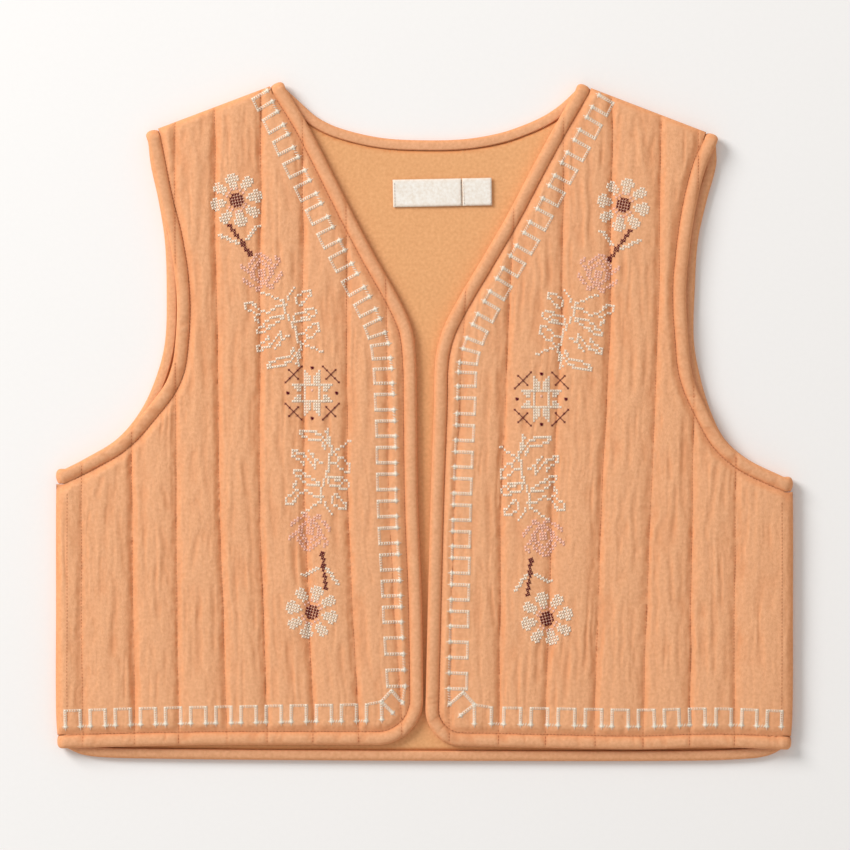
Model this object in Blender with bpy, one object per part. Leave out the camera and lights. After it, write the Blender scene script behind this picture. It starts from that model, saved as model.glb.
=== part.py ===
"""A child's quilted waistcoat, laid flat with its front up.

The back lies on the surface with its lining up, and the two fronts lie on the back. Every open
edge is bound with a folded strip. Shoulders and sides are sewn, so the cloth folds over there.

X runs to the right of somebody who looks down on it with the neck away from them, Y runs toward
the neck and Z runs up. Right and left in names are the wearer's, so the right front is at -X.
Sizes are in millimetres and are turned to metres where the meshes are made.
"""

import math

import bmesh
import bpy
import numpy as np
from mathutils import Vector
from mathutils.geometry import delaunay_2d_cdt

MM = 0.001
GAP = 0.3
HAIR = 0.03
NO_POINTS = np.empty((0, 2))

# Heights of the layers
LAYER = 3.6
FRONT_BASE = LAYER + GAP
BACK_CLOTH = 2.3
LINING_CLOTH = 1.0
SEAM_CLOTH = 0.9
VALLEY_TOP = FRONT_BASE + 2.0
CROWN_TOP = FRONT_BASE + 4.5

# The folded strip that binds the edges: its two faces, its wall, and the cloth that it grips
OUTSIDE_FACE = 6.6
INSIDE_FACE = 5.2
WALL = 1.0
GRIPPED_LOW = WALL + GAP
GRIPPED_HIGH = LAYER - WALL - GAP
RAW_EDGE = WALL + GAP
BINDING_PROFILE = (
    # distance in from the edge, height above the garment's inside
    (INSIDE_FACE, 0.0),
    (0.9, 0.0),
    (0.0, 1.0),
    (0.0, LAYER - 1.0),
    (0.9, LAYER),
    (OUTSIDE_FACE, LAYER),
    (OUTSIDE_FACE, LAYER - WALL),
    (WALL, LAYER - WALL),
    (WALL, WALL),
    (INSIDE_FACE, WALL),
)

# A sewn edge is a fold that reaches this far past its fold line, easing in over these shares
FOLD_INNER = 0.5
FOLD = LAYER + FOLD_INNER
FOLD_SHARES = (0.25, 0.63)
FOLD_ANGLES = (22.5, 45.0, 67.5, 90.0)

# Spacing of the points along edges and along quilting lines
EDGE_STEP = 11.0
FRONT_HEM_STEP = 22.0
BACK_HEM_STEP = 27.5
SEAM_STEPS = {"shoulder": 6.0, "side": 24.0}
SEAM_CLEAR = OUTSIDE_FACE + 3.0
RING_STEP = 3.6
RING_DEPTHS = (2.0, 4.1, 6.3)
ROW_STEP = 22.0
ROWS_PER_STEP = 9
END_ROWS = 2
CLEAR_OF_RINGS = 1.0
CLEAR_OF_SEAM = 1.2

# Where the fold lines of the shoulders and sides end, shared by front and back
CORNERS = {
    # name: (x right, y right), (x left, y left)
    "neck": ((-69.3, 166.1), (75.3, 165.2)),
    "shoulder": ((-138.3, 140.0), (145.8, 138.2)),
    "underarm": ((-179.7, -23.8), (179.6, -27.8)),
    "hem": ((-178.9, -163.4), (178.6, -164.0)),
}

SIDE_FOLD = (
    # y, x right, x left
    (-42.0, -180.1, 180.1),
    (-95.0, -180.1, 180.1),
    (-145.0, -180.1, 179.9),
)

FRONT_EDGE = (
    # y, x right, x left
    (148.0, -58.3, 65.3),
    (126.0, -47.0, 53.4),
    (104.0, -36.0, 41.9),
    (82.0, -24.4, 29.2),
    (61.0, -12.6, 16.8),
    (46.0, -6.2, 9.2),
    (31.0, -4.3, 5.4),
    (8.0, -3.8, 4.7),
    (-40.0, -3.2, 3.0),
    (-90.0, -1.3, 1.7),
)

# The round corner at the foot of each front edge: where it meets the edge, and its radius
FRONT_CORNER = {"x": (-0.6, 0.4), "y": (-161.8, -162.4), "radius": (23.0, 18.5)}
CORNER_STEPS = 7

# A place well inside each panel, which tells the way in from its edges
FRONT_MIDDLE_X = 90.0
BELOW_ARMHOLES = (0.0, -60.0)
BACK_MIDDLE = (0.0, 0.0)

FRONT_HEM = (
    # share of the way from the round corner to the side, y right, y left
    (0.0, -161.8, -162.4),
    (0.28, -161.7, -163.3),
    (0.55, -161.9, -164.0),
    (0.78, -162.5, -163.0),
)

ARMHOLE = (
    # y, x of the right front, right back, left front, left back
    (128.0, -136.0, -136.9, 141.1, 145.9),
    (110.0, -132.3, -133.0, 136.3, 141.1),
    (90.0, -127.4, -129.9, 133.0, 136.8),
    (65.0, -124.0, -129.0, 130.8, 135.2),
    (40.0, -124.5, -129.8, 132.0, 134.8),
    (22.0, -128.0, -134.3, 134.3, 138.0),
    (5.0, -139.9, -142.2, 141.6, 143.2),
    (-9.0, -153.1, -154.0, 149.6, 150.3),
    (-19.0, -170.0, -170.4, 161.2, 161.8),
)

BACK_NECK = (
    # share of the way from the right neck corner to the left, y
    (0.05, 159.4),
    (0.11, 151.9),
    (0.19, 146.5),
    (0.33, 141.8),
    (0.48, 140.6),
    (0.62, 141.2),
    (0.74, 144.2),
    (0.83, 148.6),
    (0.90, 153.4),
    (0.955, 159.0),
)

BACK_HEM = (
    # share of the way from the right hem corner to the left, y
    (0.02, -166.6),
    (0.05, -168.1),
    (0.12, -168.8),
    (0.30, -169.5),
    (0.55, -169.9),
    (0.88, -169.8),
    (0.96, -168.6),
    (0.985, -166.8),
)

# Quilting lines of the fronts, from the side to the front edge
QUILTING_Y = (150.0, 50.0, -50.0, -150.0)
QUILTING = {
    "right": (
        # x at each height in QUILTING_Y
        (-171.5, -171.5, -171.5, -171.0),
        (-146.5, -146.5, -146.3, -144.8),
        (-124.7, -124.7, -124.4, -122.8),
        (-104.9, -104.0, -102.3, -98.8),
        (-81.8, -82.3, -82.4, -78.5),
        (-60.8, -60.8, -60.0, -55.5),
        (-39.5, -38.9, -38.4, -33.2),
        (-21.0, -18.9, -17.8, -11.6),
    ),
    "left": (
        (155.5, 155.5, 155.2, 154.4),
        (137.0, 135.0, 133.6, 132.4),
        (118.2, 116.7, 112.3, 109.2),
        (93.8, 92.6, 88.0, 85.0),
        (69.5, 68.5, 63.5, 60.5),
        (46.5, 42.2, 37.7, 37.2),
        (23.0, 20.0, 14.3, 12.0),
    ),
}
QUILTING_SPAN = (-168.0, 172.0)
SIDE_REACH = 184.2
MIDDLE_REACH = 2.0
CHANNEL_SHARES = (0.0, 0.1, 0.28, 0.5, 0.72, 0.9)
PUFF_ROUNDNESS = 2.3
PUFF_STEEPNESS = 0.75
EASE_TO_BINDING = 6.0

# How far the inside of a panel runs down from a binding, and how far the lining stops from a seam
FRONT_FOOT = 1.0
BACK_FOOT = 1.1
LINING_INSET = 0.7

# The two labels: middle of each, and its width
LABEL_SIZES = {
    # name: x, y, width
    "neck_label": (1.4, 114.2, 34.4),
    "size_label": (26.3, 114.7, 14.8),
}
LABEL_HEIGHT = 13.8
LABEL_CLOTH = 0.6
LABEL_TILT = math.radians(1.1)

SIDES = ("right", "left")

# Colours are sRGB
FINISHES = {
    "gauze": ((0.91, 0.67, 0.50), 0.92),
    "binding": ((0.90, 0.66, 0.48), 0.88),
    "lining": ((0.90, 0.66, 0.46), 0.90),
    "label": ((0.95, 0.94, 0.92), 0.60),
}


def unit(vector):
    return vector / np.linalg.norm(vector)


def cross(a, b):
    return a[0] * b[1] - a[1] * b[0]


def through(points, step):
    """A smooth curve through the points, with its own points about a step apart."""
    p = np.array(points, float)
    p = np.vstack([2 * p[0] - p[1], p, 2 * p[-1] - p[-2]])
    curve = []
    for before, a, b, after in zip(p[:-3], p[1:-2], p[2:-1], p[3:]):
        length = np.linalg.norm(b - a)
        count = max(1, round(length / step))
        ta = (b - before) / np.linalg.norm(b - before) * length
        tb = (after - a) / np.linalg.norm(after - a) * length
        for t in np.arange(count) / count:
            s = 1 - t
            hermite_a = s * s * (1 + 2 * t) * a + t * s * s * ta
            hermite_b = t * t * (1 + 2 * s) * b - t * t * s * tb
            curve.append(hermite_a + hermite_b)
    curve.append(p[-2])
    return np.array(curve)


def resampled(line, step):
    """The inner points of an open line, evenly spaced."""
    along = np.concatenate([[0], np.cumsum(np.linalg.norm(np.diff(line, axis=0), axis=1))])
    at = np.linspace(0, along[-1], round(along[-1] / step) + 1)[1:-1]
    return np.stack([np.interp(at, along, line[:, k]) for k in range(2)], axis=1)


class Edge:
    """A bound edge: its points, the way in from each, and the way out over the fold at each end.

    The ends lie on fold lines. There the way in runs along the fold line, so that whatever
    is set in from the edge still ends on that line.
    """

    def __init__(self, points, inside, start, end):
        self.points = np.array(points, float)
        along = np.gradient(self.points, axis=0)
        along /= np.linalg.norm(along, axis=1)[:, None]
        normal = np.stack([-along[:, 1], along[:, 0]], axis=1)
        if ((np.array(inside) - self.points) * normal).sum() < 0:
            normal = -normal
        self.inward = normal
        self.outs = []
        for i, fold in ((0, start), (-1, end)):
            self.inward[i] = fold["along"] / abs(cross(along[i], fold["along"]))
            self.outs.append(fold["out"])

    def offset(self, distance):
        return self.points + distance * self.inward

    def band(self, distance):
        """The closed outline of what lies within a distance of the edge, and a hair more."""
        outer, inner = self.offset(-WALL), self.offset(distance + HAIR)
        for line in (outer, inner):
            line[0] += HAIR * self.outs[0]
            line[-1] += HAIR * self.outs[1]
        return np.vstack([outer, inner[::-1]])


def corner(name, side):
    return np.array(CORNERS[name][SIDES.index(side)])


def fold_line(side, names):
    """The points of a shoulder's or a side's fold line, and the way out from each."""
    points = [corner(names[0], side)]
    if names[0] == "underarm":
        column = 1 + SIDES.index(side)
        points += [np.array((row[column], row[0])) for row in SIDE_FOLD]
    points.append(corner(names[1], side))
    points = through(points, SEAM_STEPS["side" if names[0] == "underarm" else "shoulder"])
    along = np.gradient(points, axis=0)
    along /= np.linalg.norm(along, axis=1)[:, None]
    out = np.stack([-along[:, 1], along[:, 0]], axis=1)
    if (out * points).sum() < 0:
        out = -out
    return points, out


def fold_end(side, name):
    """The way into the cloth along the fold line at one of its ends, and the way out over it."""
    names = ("neck", "shoulder") if name in ("neck", "shoulder") else ("underarm", "hem")
    points, out = fold_line(side, names)
    if name == names[0]:
        return {"along": unit(points[1] - points[0]), "out": out[0]}
    return {"along": unit(points[-2] - points[-1]), "out": out[-1]}


def front_edge(side):
    """Neck edge, front edge, round corner and hem of one front."""
    column = SIDES.index(side)
    toward_side = (-1, 1)[column]
    x, y, radius = (FRONT_CORNER[key][column] for key in ("x", "y", "radius"))
    centre = np.array((x + toward_side * radius, y + radius))
    upper = [corner("neck", side)]
    upper += [np.array((row[1 + column], row[0])) for row in FRONT_EDGE]
    upper.append(np.array((x, centre[1])))
    turn = []
    for i in range(1, CORNER_STEPS):
        angle = math.pi / 2 * i / CORNER_STEPS
        turn.append(centre + radius * np.array((-toward_side * math.cos(angle), -math.sin(angle))))
    end = corner("hem", side)
    hem = [(centre[0] + row[0] * (end[0] - centre[0]), row[1 + column]) for row in FRONT_HEM]
    points = np.vstack([through(upper, EDGE_STEP), turn, through([*hem, end], FRONT_HEM_STEP)])
    inside = (toward_side * FRONT_MIDDLE_X, 0.0)
    return Edge(points, inside, fold_end(side, "neck"), fold_end(side, "hem"))


def armhole_edge(side, layer):
    """One armhole from shoulder to underarm, in the front or the back."""
    column = 1 + 2 * SIDES.index(side) + ("front", "back").index(layer)
    points = [corner("shoulder", side)]
    points += [np.array((row[column], row[0])) for row in ARMHOLE]
    points.append(corner("underarm", side))
    ends = fold_end(side, "shoulder"), fold_end(side, "underarm")
    return Edge(through(points, EDGE_STEP), BELOW_ARMHOLES, *ends)


def across_back(table, name):
    """The neck or the hem of the back, from the wearer's right to left."""
    first, last = corner(name, "right"), corner(name, "left")
    points = [first]
    points += [np.array((first[0] + share * (last[0] - first[0]), y)) for share, y in table]
    points.append(last)
    step = EDGE_STEP if name == "neck" else BACK_HEM_STEP
    return Edge(through(points, step), BACK_MIDDLE, fold_end("right", name), fold_end("left", name))


def seam_rings(side, names, start, end):
    """The sewn edge between two bound ones, from its outermost line in to its fold line.

    start and end are (edge, which end) for the bound edges that it meets.
    """
    points, out = fold_line(side, names)
    ends = [edge.offset(OUTSIDE_FACE + GAP)[which] for edge, which in (start, end)]
    outs = [edge.outs[which] for edge, which in (start, end)]
    clear = distance_to([points[[0, 0]], points[[-1, -1]]], points) > SEAM_CLEAR
    points = np.vstack([ends[0], points[clear], ends[1]])
    out = np.vstack([outs[0], out[clear], outs[1]])
    return [points + FOLD * (1 - share) * out for share in (0.0, *FOLD_SHARES, 1.0)]


def notch(edge, which, marks):
    """Points along the fold line at one end of a bound edge, from the raw edge inward."""
    return [edge.points[which] + mark * edge.inward[which] for mark in marks]


def outline_of(edges, seams, marks):
    """The closed outline of a panel from its bound edges and the seams after each of them.

    Every edge and seam runs on from the one before. A seam brings its rings, outermost first.
    """
    outline = []
    for (edge, forward), rings in zip(edges, seams):
        order = slice(None) if forward else slice(None, None, -1)
        first, last = (0, -1) if forward else (-1, 0)
        outline += notch(edge, first, marks)[::-1]
        outline += list(edge.offset(RAW_EDGE)[order])
        outline += notch(edge, last, marks)
        outline += [ring[0] for ring in rings[::-1][1:]]
        outline += list(rings[0][1:])
        outline += [ring[-1] for ring in rings[1:-1]]
    return np.array(outline)


def inside_of(outline, points):
    """Which points lie inside a closed outline."""
    a, b = outline, np.roll(outline, -1, axis=0)
    x, y = points[:, 0:1], points[:, 1:2]
    spans = (a[:, 1] > y) != (b[:, 1] > y)
    rise = np.where(a[:, 1] == b[:, 1], 1.0, b[:, 1] - a[:, 1])
    crossing = a[:, 0] + (y - a[:, 1]) / rise * (b[:, 0] - a[:, 0])
    return (spans & (x < crossing)).sum(axis=1) % 2 == 1


def distance_to(lines, points):
    """How far each point is from the nearest of some open lines."""
    best = np.full(len(points), np.inf)
    for line in lines:
        for a, b in zip(line[:-1], line[1:]):
            span = b - a
            t = np.clip((points - a) @ span / max(span @ span, 1e-9), 0, 1)
            away = np.linalg.norm(points - a - t[:, None] * span, axis=1)
            best = np.minimum(best, away)
    return best


def beyond(edges, mark, points):
    """How far past a line set in from the bound edges each point lies: 0 within that line."""
    away = distance_to([edge.offset(mark) for edge in edges], points)
    for edge in edges:
        away[inside_of(edge.band(mark), points)] = 0.0
    return away


def quilting_at(side, y):
    """The x of each quilting line at a height, with the cloth's two ends as the outer lines."""
    lines = np.array([np.interp(y, QUILTING_Y[::-1], row[::-1]) for row in QUILTING[side]])
    toward_side = -1 if side == "right" else 1
    ends = toward_side * SIDE_REACH, toward_side * MIDDLE_REACH
    return np.array([ends[0], *lines, ends[1]])


def puff(side, points):
    """How far the quilting rises at each point, from 0 on a stitched line to 1 between lines."""
    rise = []
    for x, y in points:
        lines = np.sort(quilting_at(side, y))
        i = int(np.clip(np.searchsorted(lines, x) - 1, 0, len(lines) - 2))
        share = np.clip((x - lines[i]) / (lines[i + 1] - lines[i]), 0, 1)
        rise.append((1 - abs(2 * share - 1) ** PUFF_ROUNDNESS) ** PUFF_STEEPNESS)
    return np.array(rise)


def ease(share):
    share = np.clip(share, 0, 1)
    return share * share * (3 - 2 * share)


def fold_round(seam_distance):
    """How far a folded edge has opened out, from 0 at the very edge to 1 at its fold line."""
    share = np.clip(seam_distance / FOLD, 0, 1)
    return np.sqrt(1 - (1 - share) ** 2)


def triangulate(outline, lines, loose):
    """Triangles inside an outline that keep its points and the lines as edges."""
    points = [Vector(p) for p in outline]
    edges = []
    for line in lines:
        first = len(points)
        points += [Vector(p) for p in line]
        edges += [(i, i + 1) for i in range(first, len(points) - 1)]
    points += [Vector(p) for p in loose]
    face = list(range(len(outline)))
    found, _, faces, sources, _, _ = delaunay_2d_cdt(points, edges, [face], 1, 1e-4)
    place = {source: i for i, ids in enumerate(sources) for source in ids}
    rim = [place[i] for i in face]
    return np.array([tuple(p) for p in found]), faces, rim


def panel(name, finish, outline, top, bottom):
    """A cloth wall between two height functions. top and bottom are (lines, loose, height)."""
    vertices, faces, rims = [], [], []
    for lines, loose, height in (top, bottom):
        flat, triangles, rim = triangulate(outline, lines, loose)
        base = len(vertices)
        vertices += list(np.column_stack([flat, height(flat)]))
        faces += [tuple(base + i for i in triangle) for triangle in triangles]
        rims.append([base + i for i in rim])
    upper, lower = rims
    for i in range(len(upper)):
        faces.append((upper[i - 1], upper[i], lower[i], lower[i - 1]))
    return cloth_object(name, finish, vertices, faces)


def material(finish):
    """A plain cloth material, made once."""
    found = bpy.data.materials.get(finish)
    if found:
        return found
    colour, roughness = FINISHES[finish]
    made = bpy.data.materials.new(finish)
    made.use_nodes = True
    shader = made.node_tree.nodes["Principled BSDF"]
    linear = [((c + 0.055) / 1.055) ** 2.4 for c in colour]
    shader.inputs["Base Color"].default_value = (*linear, 1.0)
    shader.inputs["Roughness"].default_value = roughness
    shader.inputs["Metallic"].default_value = 0.0
    return made


def cloth_object(name, finish, vertices, faces):
    """An object from points in millimetres, with its faces turned outward."""
    mesh = bpy.data.meshes.new(name)
    mesh.from_pydata([tuple(float(c) * MM for c in v) for v in vertices], [], faces)
    shape = bmesh.new()
    shape.from_mesh(mesh)
    bmesh.ops.recalc_face_normals(shape, faces=shape.faces[:])
    shape.to_mesh(mesh)
    shape.free()
    mesh.shade_smooth()
    mesh.set_sharp_from_angle(angle=math.radians(50))
    mesh.materials.append(material(finish))
    made = bpy.data.objects.new(name, mesh)
    bpy.context.scene.collection.objects.link(made)
    return made


def height_in(layer, rise):
    """A height above the garment's inside, as a height above the surface it lies on."""
    return FRONT_BASE + rise if layer == "front" else LAYER - rise


def sections(edge, layer):
    """The strip's cross-sections along a bound edge."""
    found = []
    for point, inward in zip(edge.points, edge.inward):
        section = []
        for into, rise in BINDING_PROFILE:
            section.append((*(point + into * inward), height_in(layer, rise)))
        found.append(section)
    return found


def fold_sections(edge, layer, which):
    """The strip's cross-sections over the fold at one end of an edge, to its outermost line."""
    found = []
    for degrees in FOLD_ANGLES:
        angle = math.radians(degrees)
        section = []
        for into, rise in BINDING_PROFILE:
            place = edge.points[which] + into * edge.inward[which]
            place = place + (rise + FOLD_INNER) * math.sin(angle) * edge.outs[which]
            section.append((*place, height_in(layer, rise * math.cos(angle))))
        found.append(section)
    return found


def strip(name, rows, closed):
    """A binding from its cross-sections, either a closed ring or with two ends."""
    count = len(BINDING_PROFILE)
    vertices = [vertex for row in rows for vertex in row]
    faces = []
    for i in range(len(rows) if closed else len(rows) - 1):
        a, b = i * count, (i + 1) % len(rows) * count
        for j in range(count):
            k = (j + 1) % count
            faces.append((a + j, a + k, b + k, b + j))
    if not closed:
        faces.append(tuple(range(count)))
        faces.append(tuple(range(len(vertices) - count, len(vertices))))
    return cloth_object(name, "binding", vertices, faces)


def open_binding(name, edge, layer):
    """A binding along one edge that runs over the fold at both ends."""
    rows = fold_sections(edge, layer, 0)[::-1]
    rows += sections(edge, layer)
    rows += fold_sections(edge, layer, -1)
    strip(name, rows, closed=False)


def armhole_binding(side, front, back):
    """The ring round an armhole: down the front, under the arm, up the back, over the shoulder."""
    rows = sections(front, "front")
    rows += fold_sections(front, "front", -1)
    rows += fold_sections(back, "back", -1)[::-1]
    rows += sections(back, "back")[::-1]
    rows += fold_sections(back, "back", 0)
    rows += fold_sections(front, "front", 0)[::-1]
    strip(f"{side}_armhole_binding", rows, closed=True)


def clear_stretches(column, clear):
    """The clear stretches of one column: its rows, and two more points near each end."""
    stretches = []
    ends = np.flatnonzero(np.diff(np.concatenate([[False], clear, [False]]).astype(int)))
    for first, after in zip(ends[::2], ends[1::2]):
        last = after - 1
        near = {first, last, min(first + END_ROWS, last), max(last - END_ROWS, first)}
        between = range(first + 2 * END_ROWS, last - 2 * END_ROWS + 1)
        coarse = {i for i in between if i % ROWS_PER_STEP == 0}
        stretches.append(column[sorted(near | coarse)])
    return stretches


def quilting_columns(side, outline, bound, seams):
    """Lines along the quilting and between its stitched lines, clear of the edges."""
    columns = []
    heights = np.arange(*QUILTING_SPAN, ROW_STEP / ROWS_PER_STEP)
    lines = np.array([quilting_at(side, y) for y in heights])
    for i in range(lines.shape[1] - 1):
        for share in CHANNEL_SHARES[1 if i == 0 else 0:]:
            x = lines[:, i] + share * (lines[:, i + 1] - lines[:, i])
            column = np.column_stack([x, heights])
            clear = inside_of(outline, column)
            away = beyond(bound, OUTSIDE_FACE + GAP, column)
            clear &= away > RING_DEPTHS[-1] + CLEAR_OF_RINGS
            clear &= distance_to(seams, column) > FOLD + CLEAR_OF_SEAM
            columns += clear_stretches(column, clear)
    return columns


def front_panel(side, edge, armhole):
    """A quilted front: channels raised on its outside over a plain inside."""
    shoulder = seam_rings(side, ("neck", "shoulder"), (edge, 0), (armhole, 0))
    flank = seam_rings(side, ("underarm", "hem"), (armhole, -1), (edge, -1))
    grip_mark, foot_mark = INSIDE_FACE + GAP, INSIDE_FACE + GAP + FRONT_FOOT
    outer_mark = OUTSIDE_FACE + GAP
    outline = outline_of(
        [(armhole, True), (edge, False)],
        [flank, shoulder],
        (grip_mark, foot_mark, outer_mark),
    )
    bound = [edge, armhole]
    seams = [shoulder[0], flank[0]]

    def top(points):
        away = beyond(bound, outer_mark, points)
        full = VALLEY_TOP + (CROWN_TOP - VALLEY_TOP) * puff(side, points)
        gripped = FRONT_BASE + GRIPPED_HIGH
        height = gripped + (full - gripped) * ease(away / EASE_TO_BINDING)
        low = FRONT_BASE + SEAM_CLOTH
        rounded = low + (height - low) * fold_round(distance_to(seams, points))
        return np.where(away == 0.0, gripped, rounded)

    def bottom(points):
        away = beyond(bound, grip_mark, points)
        return FRONT_BASE + GRIPPED_LOW * (1 - np.clip(away / (foot_mark - grip_mark), 0, 1))

    rings = [ring[1:-1] for ring in (*shoulder[1:3], *flank[1:3])]
    seam_lines = [*shoulder[1:], *flank[1:]]
    top_lines = [edge.offset(outer_mark), armhole.offset(outer_mark), *seam_lines]
    bottom_lines = [e.offset(mark) for e in bound for mark in (grip_mark, foot_mark)]
    top_lines += quilting_columns(side, outline, bound, seams)
    near = []
    for each in bound:
        near += [resampled(each.offset(outer_mark + depth), RING_STEP) for depth in RING_DEPTHS]
    return panel(
        f"{side}_front",
        "gauze",
        outline,
        (top_lines, np.vstack(near), top),
        (bottom_lines, np.vstack(rings), bottom),
    )


def back_edges():
    """The back's bound edges, each with the way round that the outline takes it."""
    right_arm, left_arm = (armhole_edge(side, "back") for side in SIDES)
    neck, hem = across_back(BACK_NECK, "neck"), across_back(BACK_HEM, "hem")
    return [(right_arm, True), (hem, True), (left_arm, False), (neck, False)]


def back_panel(edges):
    """The back: flat where it rests, with its edges lifted into the bindings."""
    (right_arm, _), (hem, _), (left_arm, _), (neck, _) = edges
    grip_mark, foot_mark = OUTSIDE_FACE + GAP, OUTSIDE_FACE + GAP + BACK_FOOT
    seams = [
        seam_rings("right", ("underarm", "hem"), (right_arm, -1), (hem, 0)),
        [ring[::-1] for ring in seam_rings("left", ("underarm", "hem"), (left_arm, -1), (hem, -1))],
        [ring[::-1] for ring in seam_rings("left", ("neck", "shoulder"), (neck, -1), (left_arm, 0))],
        seam_rings("right", ("neck", "shoulder"), (neck, 0), (right_arm, 0)),
    ]
    outline = outline_of(edges, seams, (grip_mark,))
    bound = [edge for edge, _ in edges]
    seam_edges = [rings[0] for rings in seams]

    def top(points):
        away = distance_to(seam_edges, points)
        rise = 1 - np.clip((away / FOLD - FOLD_SHARES[-1]) / (1 - FOLD_SHARES[-1]), 0, 1)
        rise = np.where(beyond(bound, OUTSIDE_FACE, points) == 0.0, 0.0, rise)
        return BACK_CLOTH + (LAYER - BACK_CLOTH) * rise

    def bottom(points):
        away = beyond(bound, grip_mark, points)
        lifted = GRIPPED_LOW * (1 - np.clip(away / (foot_mark - grip_mark), 0, 1))
        rounded = (LAYER - SEAM_CLOTH) * (1 - fold_round(distance_to(seam_edges, points)))
        return np.maximum(lifted, rounded)

    seam_lines = [ring for rings in seams for ring in rings[1:]]
    bottom_lines = [edge.offset(mark) for edge in bound for mark in (grip_mark, foot_mark)]
    return panel(
        "back_panel",
        "gauze",
        outline,
        (seam_lines, NO_POINTS, top),
        ([*bottom_lines, *seam_lines], NO_POINTS, bottom),
    )


def back_lining(edges):
    """The plain inner cloth of the back, set in from the bindings and from the seams."""
    outline = []
    for edge, forward in edges:
        line = edge.offset(INSIDE_FACE + GAP)
        line[0] -= LINING_INSET * edge.outs[0]
        line[-1] -= LINING_INSET * edge.outs[1]
        outline += list(line if forward else line[::-1])
    outline = np.array(outline)
    high = ([], NO_POINTS, lambda points: np.full(len(points), LAYER))
    low = ([], NO_POINTS, lambda points: np.full(len(points), LAYER - LINING_CLOTH))
    return panel("back_lining", "lining", outline, high, low)


def label(name):
    """A small flat label that lies on the lining."""
    x, y, width = LABEL_SIZES[name]
    across = np.array((math.cos(LABEL_TILT), math.sin(LABEL_TILT))) * width / 2
    up = np.array((-math.sin(LABEL_TILT), math.cos(LABEL_TILT))) * LABEL_HEIGHT / 2
    centre = np.array((x, y))
    flat = [centre - across - up, centre + across - up, centre + across + up, centre - across + up]
    vertices = [(*p, z) for z in (LAYER + GAP, LAYER + GAP + LABEL_CLOTH) for p in flat]
    faces = [(3, 2, 1, 0), (4, 5, 6, 7)]
    faces += [(i, (i + 1) % 4, (i + 1) % 4 + 4, i + 4) for i in range(4)]
    return cloth_object(name, "label", vertices, faces)


def main():
    for found in list(bpy.data.objects):
        bpy.data.objects.remove(found)
    edges = back_edges()
    back_panel(edges)
    back_lining(edges)
    open_binding("back_hem_binding", edges[1][0], "back")
    open_binding("back_neck_binding", edges[3][0], "back")
    for side, (back_arm, _) in zip(SIDES, (edges[0], edges[2])):
        edge = front_edge(side)
        armhole = armhole_edge(side, "front")
        front_panel(side, edge, armhole)
        open_binding(f"{side}_front_binding", edge, "front")
        armhole_binding(side, armhole, back_arm)
    for name in LABEL_SIZES:
        label(name)


main()
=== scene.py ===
"""A child's quilted waistcoat, laid flat with its front up: its cloth, bindings and needlework.

Lengths in the code are millimetres unless a property says otherwise. X runs to the right of
somebody who looks down on the waistcoat, Y toward its neck and Z up. Right and left in names are
the wearer's, so the right front is at -X. Colours are sRGB.
"""

import math
from functools import lru_cache, partial

import bmesh
import bpy
import numpy as np
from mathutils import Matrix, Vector
from mathutils.geometry import delaunay_2d_cdt


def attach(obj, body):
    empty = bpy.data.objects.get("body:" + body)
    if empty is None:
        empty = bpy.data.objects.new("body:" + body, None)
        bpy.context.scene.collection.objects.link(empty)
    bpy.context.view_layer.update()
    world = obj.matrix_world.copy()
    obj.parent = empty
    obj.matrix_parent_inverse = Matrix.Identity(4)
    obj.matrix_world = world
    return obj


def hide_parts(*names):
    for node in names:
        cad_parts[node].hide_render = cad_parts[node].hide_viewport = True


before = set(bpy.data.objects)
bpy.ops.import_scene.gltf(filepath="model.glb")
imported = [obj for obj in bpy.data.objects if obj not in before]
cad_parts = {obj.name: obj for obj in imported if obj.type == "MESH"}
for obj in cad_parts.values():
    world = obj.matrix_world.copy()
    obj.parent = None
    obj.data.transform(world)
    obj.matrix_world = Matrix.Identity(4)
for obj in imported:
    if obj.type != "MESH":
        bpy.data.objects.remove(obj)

bl_info = {
    "name": "Quilted waistcoat",
    "version": (1, 0, 0),
    "blender": (4, 5, 0),
    "location": "View3D > Sidebar > Waistcoat",
    "description": "Makes the cloth, bindings and needlework of a child's quilted waistcoat",
    "category": "Object",
}

MM = 0.001
SIDES = ("right", "left")

# Heights of the layers, as in the solids
GAP = 0.3
LAYER = 3.6
FRONT_BASE = LAYER + GAP
SEAM_CLOTH = 0.9
GRIPPED_LOW = 1.3
GRIPPED_HIGH = 2.3
OUTSIDE_FACE = 6.6
INSIDE_FACE = 5.2
RAW_EDGE = 1.4
FOLD_INNER = 0.5
FOLD = LAYER + FOLD_INNER
LOWEST = 0.02

# Levels of a front's cloth: its stitched lines, its rim beside the strip, where it goes under the
# strip, and the gathers there. Then the levels of the back and of its lining.
CHANNEL_LEVEL = 2.2
GRIPPED_LEVEL = 2.15
UNDER_STRIP = -0.6
GATHERS = 0.3
BACK_CROWN = 1.9
BACK_INSIDE = 2.3
BACK_RIM_RISE = 1.3
BACK_PULL = 0.7
LINING_SINK = 0.05
LINING_THICKNESS = 1.0

# How a channel's puff is shared between a dome and the banks beside its stitched lines
DOME_SHARE = 0.42
BANK_SHARE = 0.58
BANK_WIDTH = 3.4
PUCKERS = 0.22
CREASE_SHARE = 0.8

# Noise in the crinkle of gauze: weight, and the size of its cells across and up
DRIFT = ((1.0, 9, 20), (0.3, 4, 8))
WRINKLES = ((0.25, 1.8, 4.0), (0.25, 3.1, 6))
FINE_CREASES = ((1.0, 3.0, 34.0), (0.5, 2.1, 17.0))
FINE_CREASE_WIDTH = 0.55
CRINKLE_RISE = 0.35

# The tucks across a binding: pitch, width in its noise, depth, and softer waves between
TUCK_PITCH = 4.2
TUCK_WIDTH = 0.25
TUCK_DEPTH = 0.6
TUCK_WAVES = 0.14
PINCH = 0.35

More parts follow.
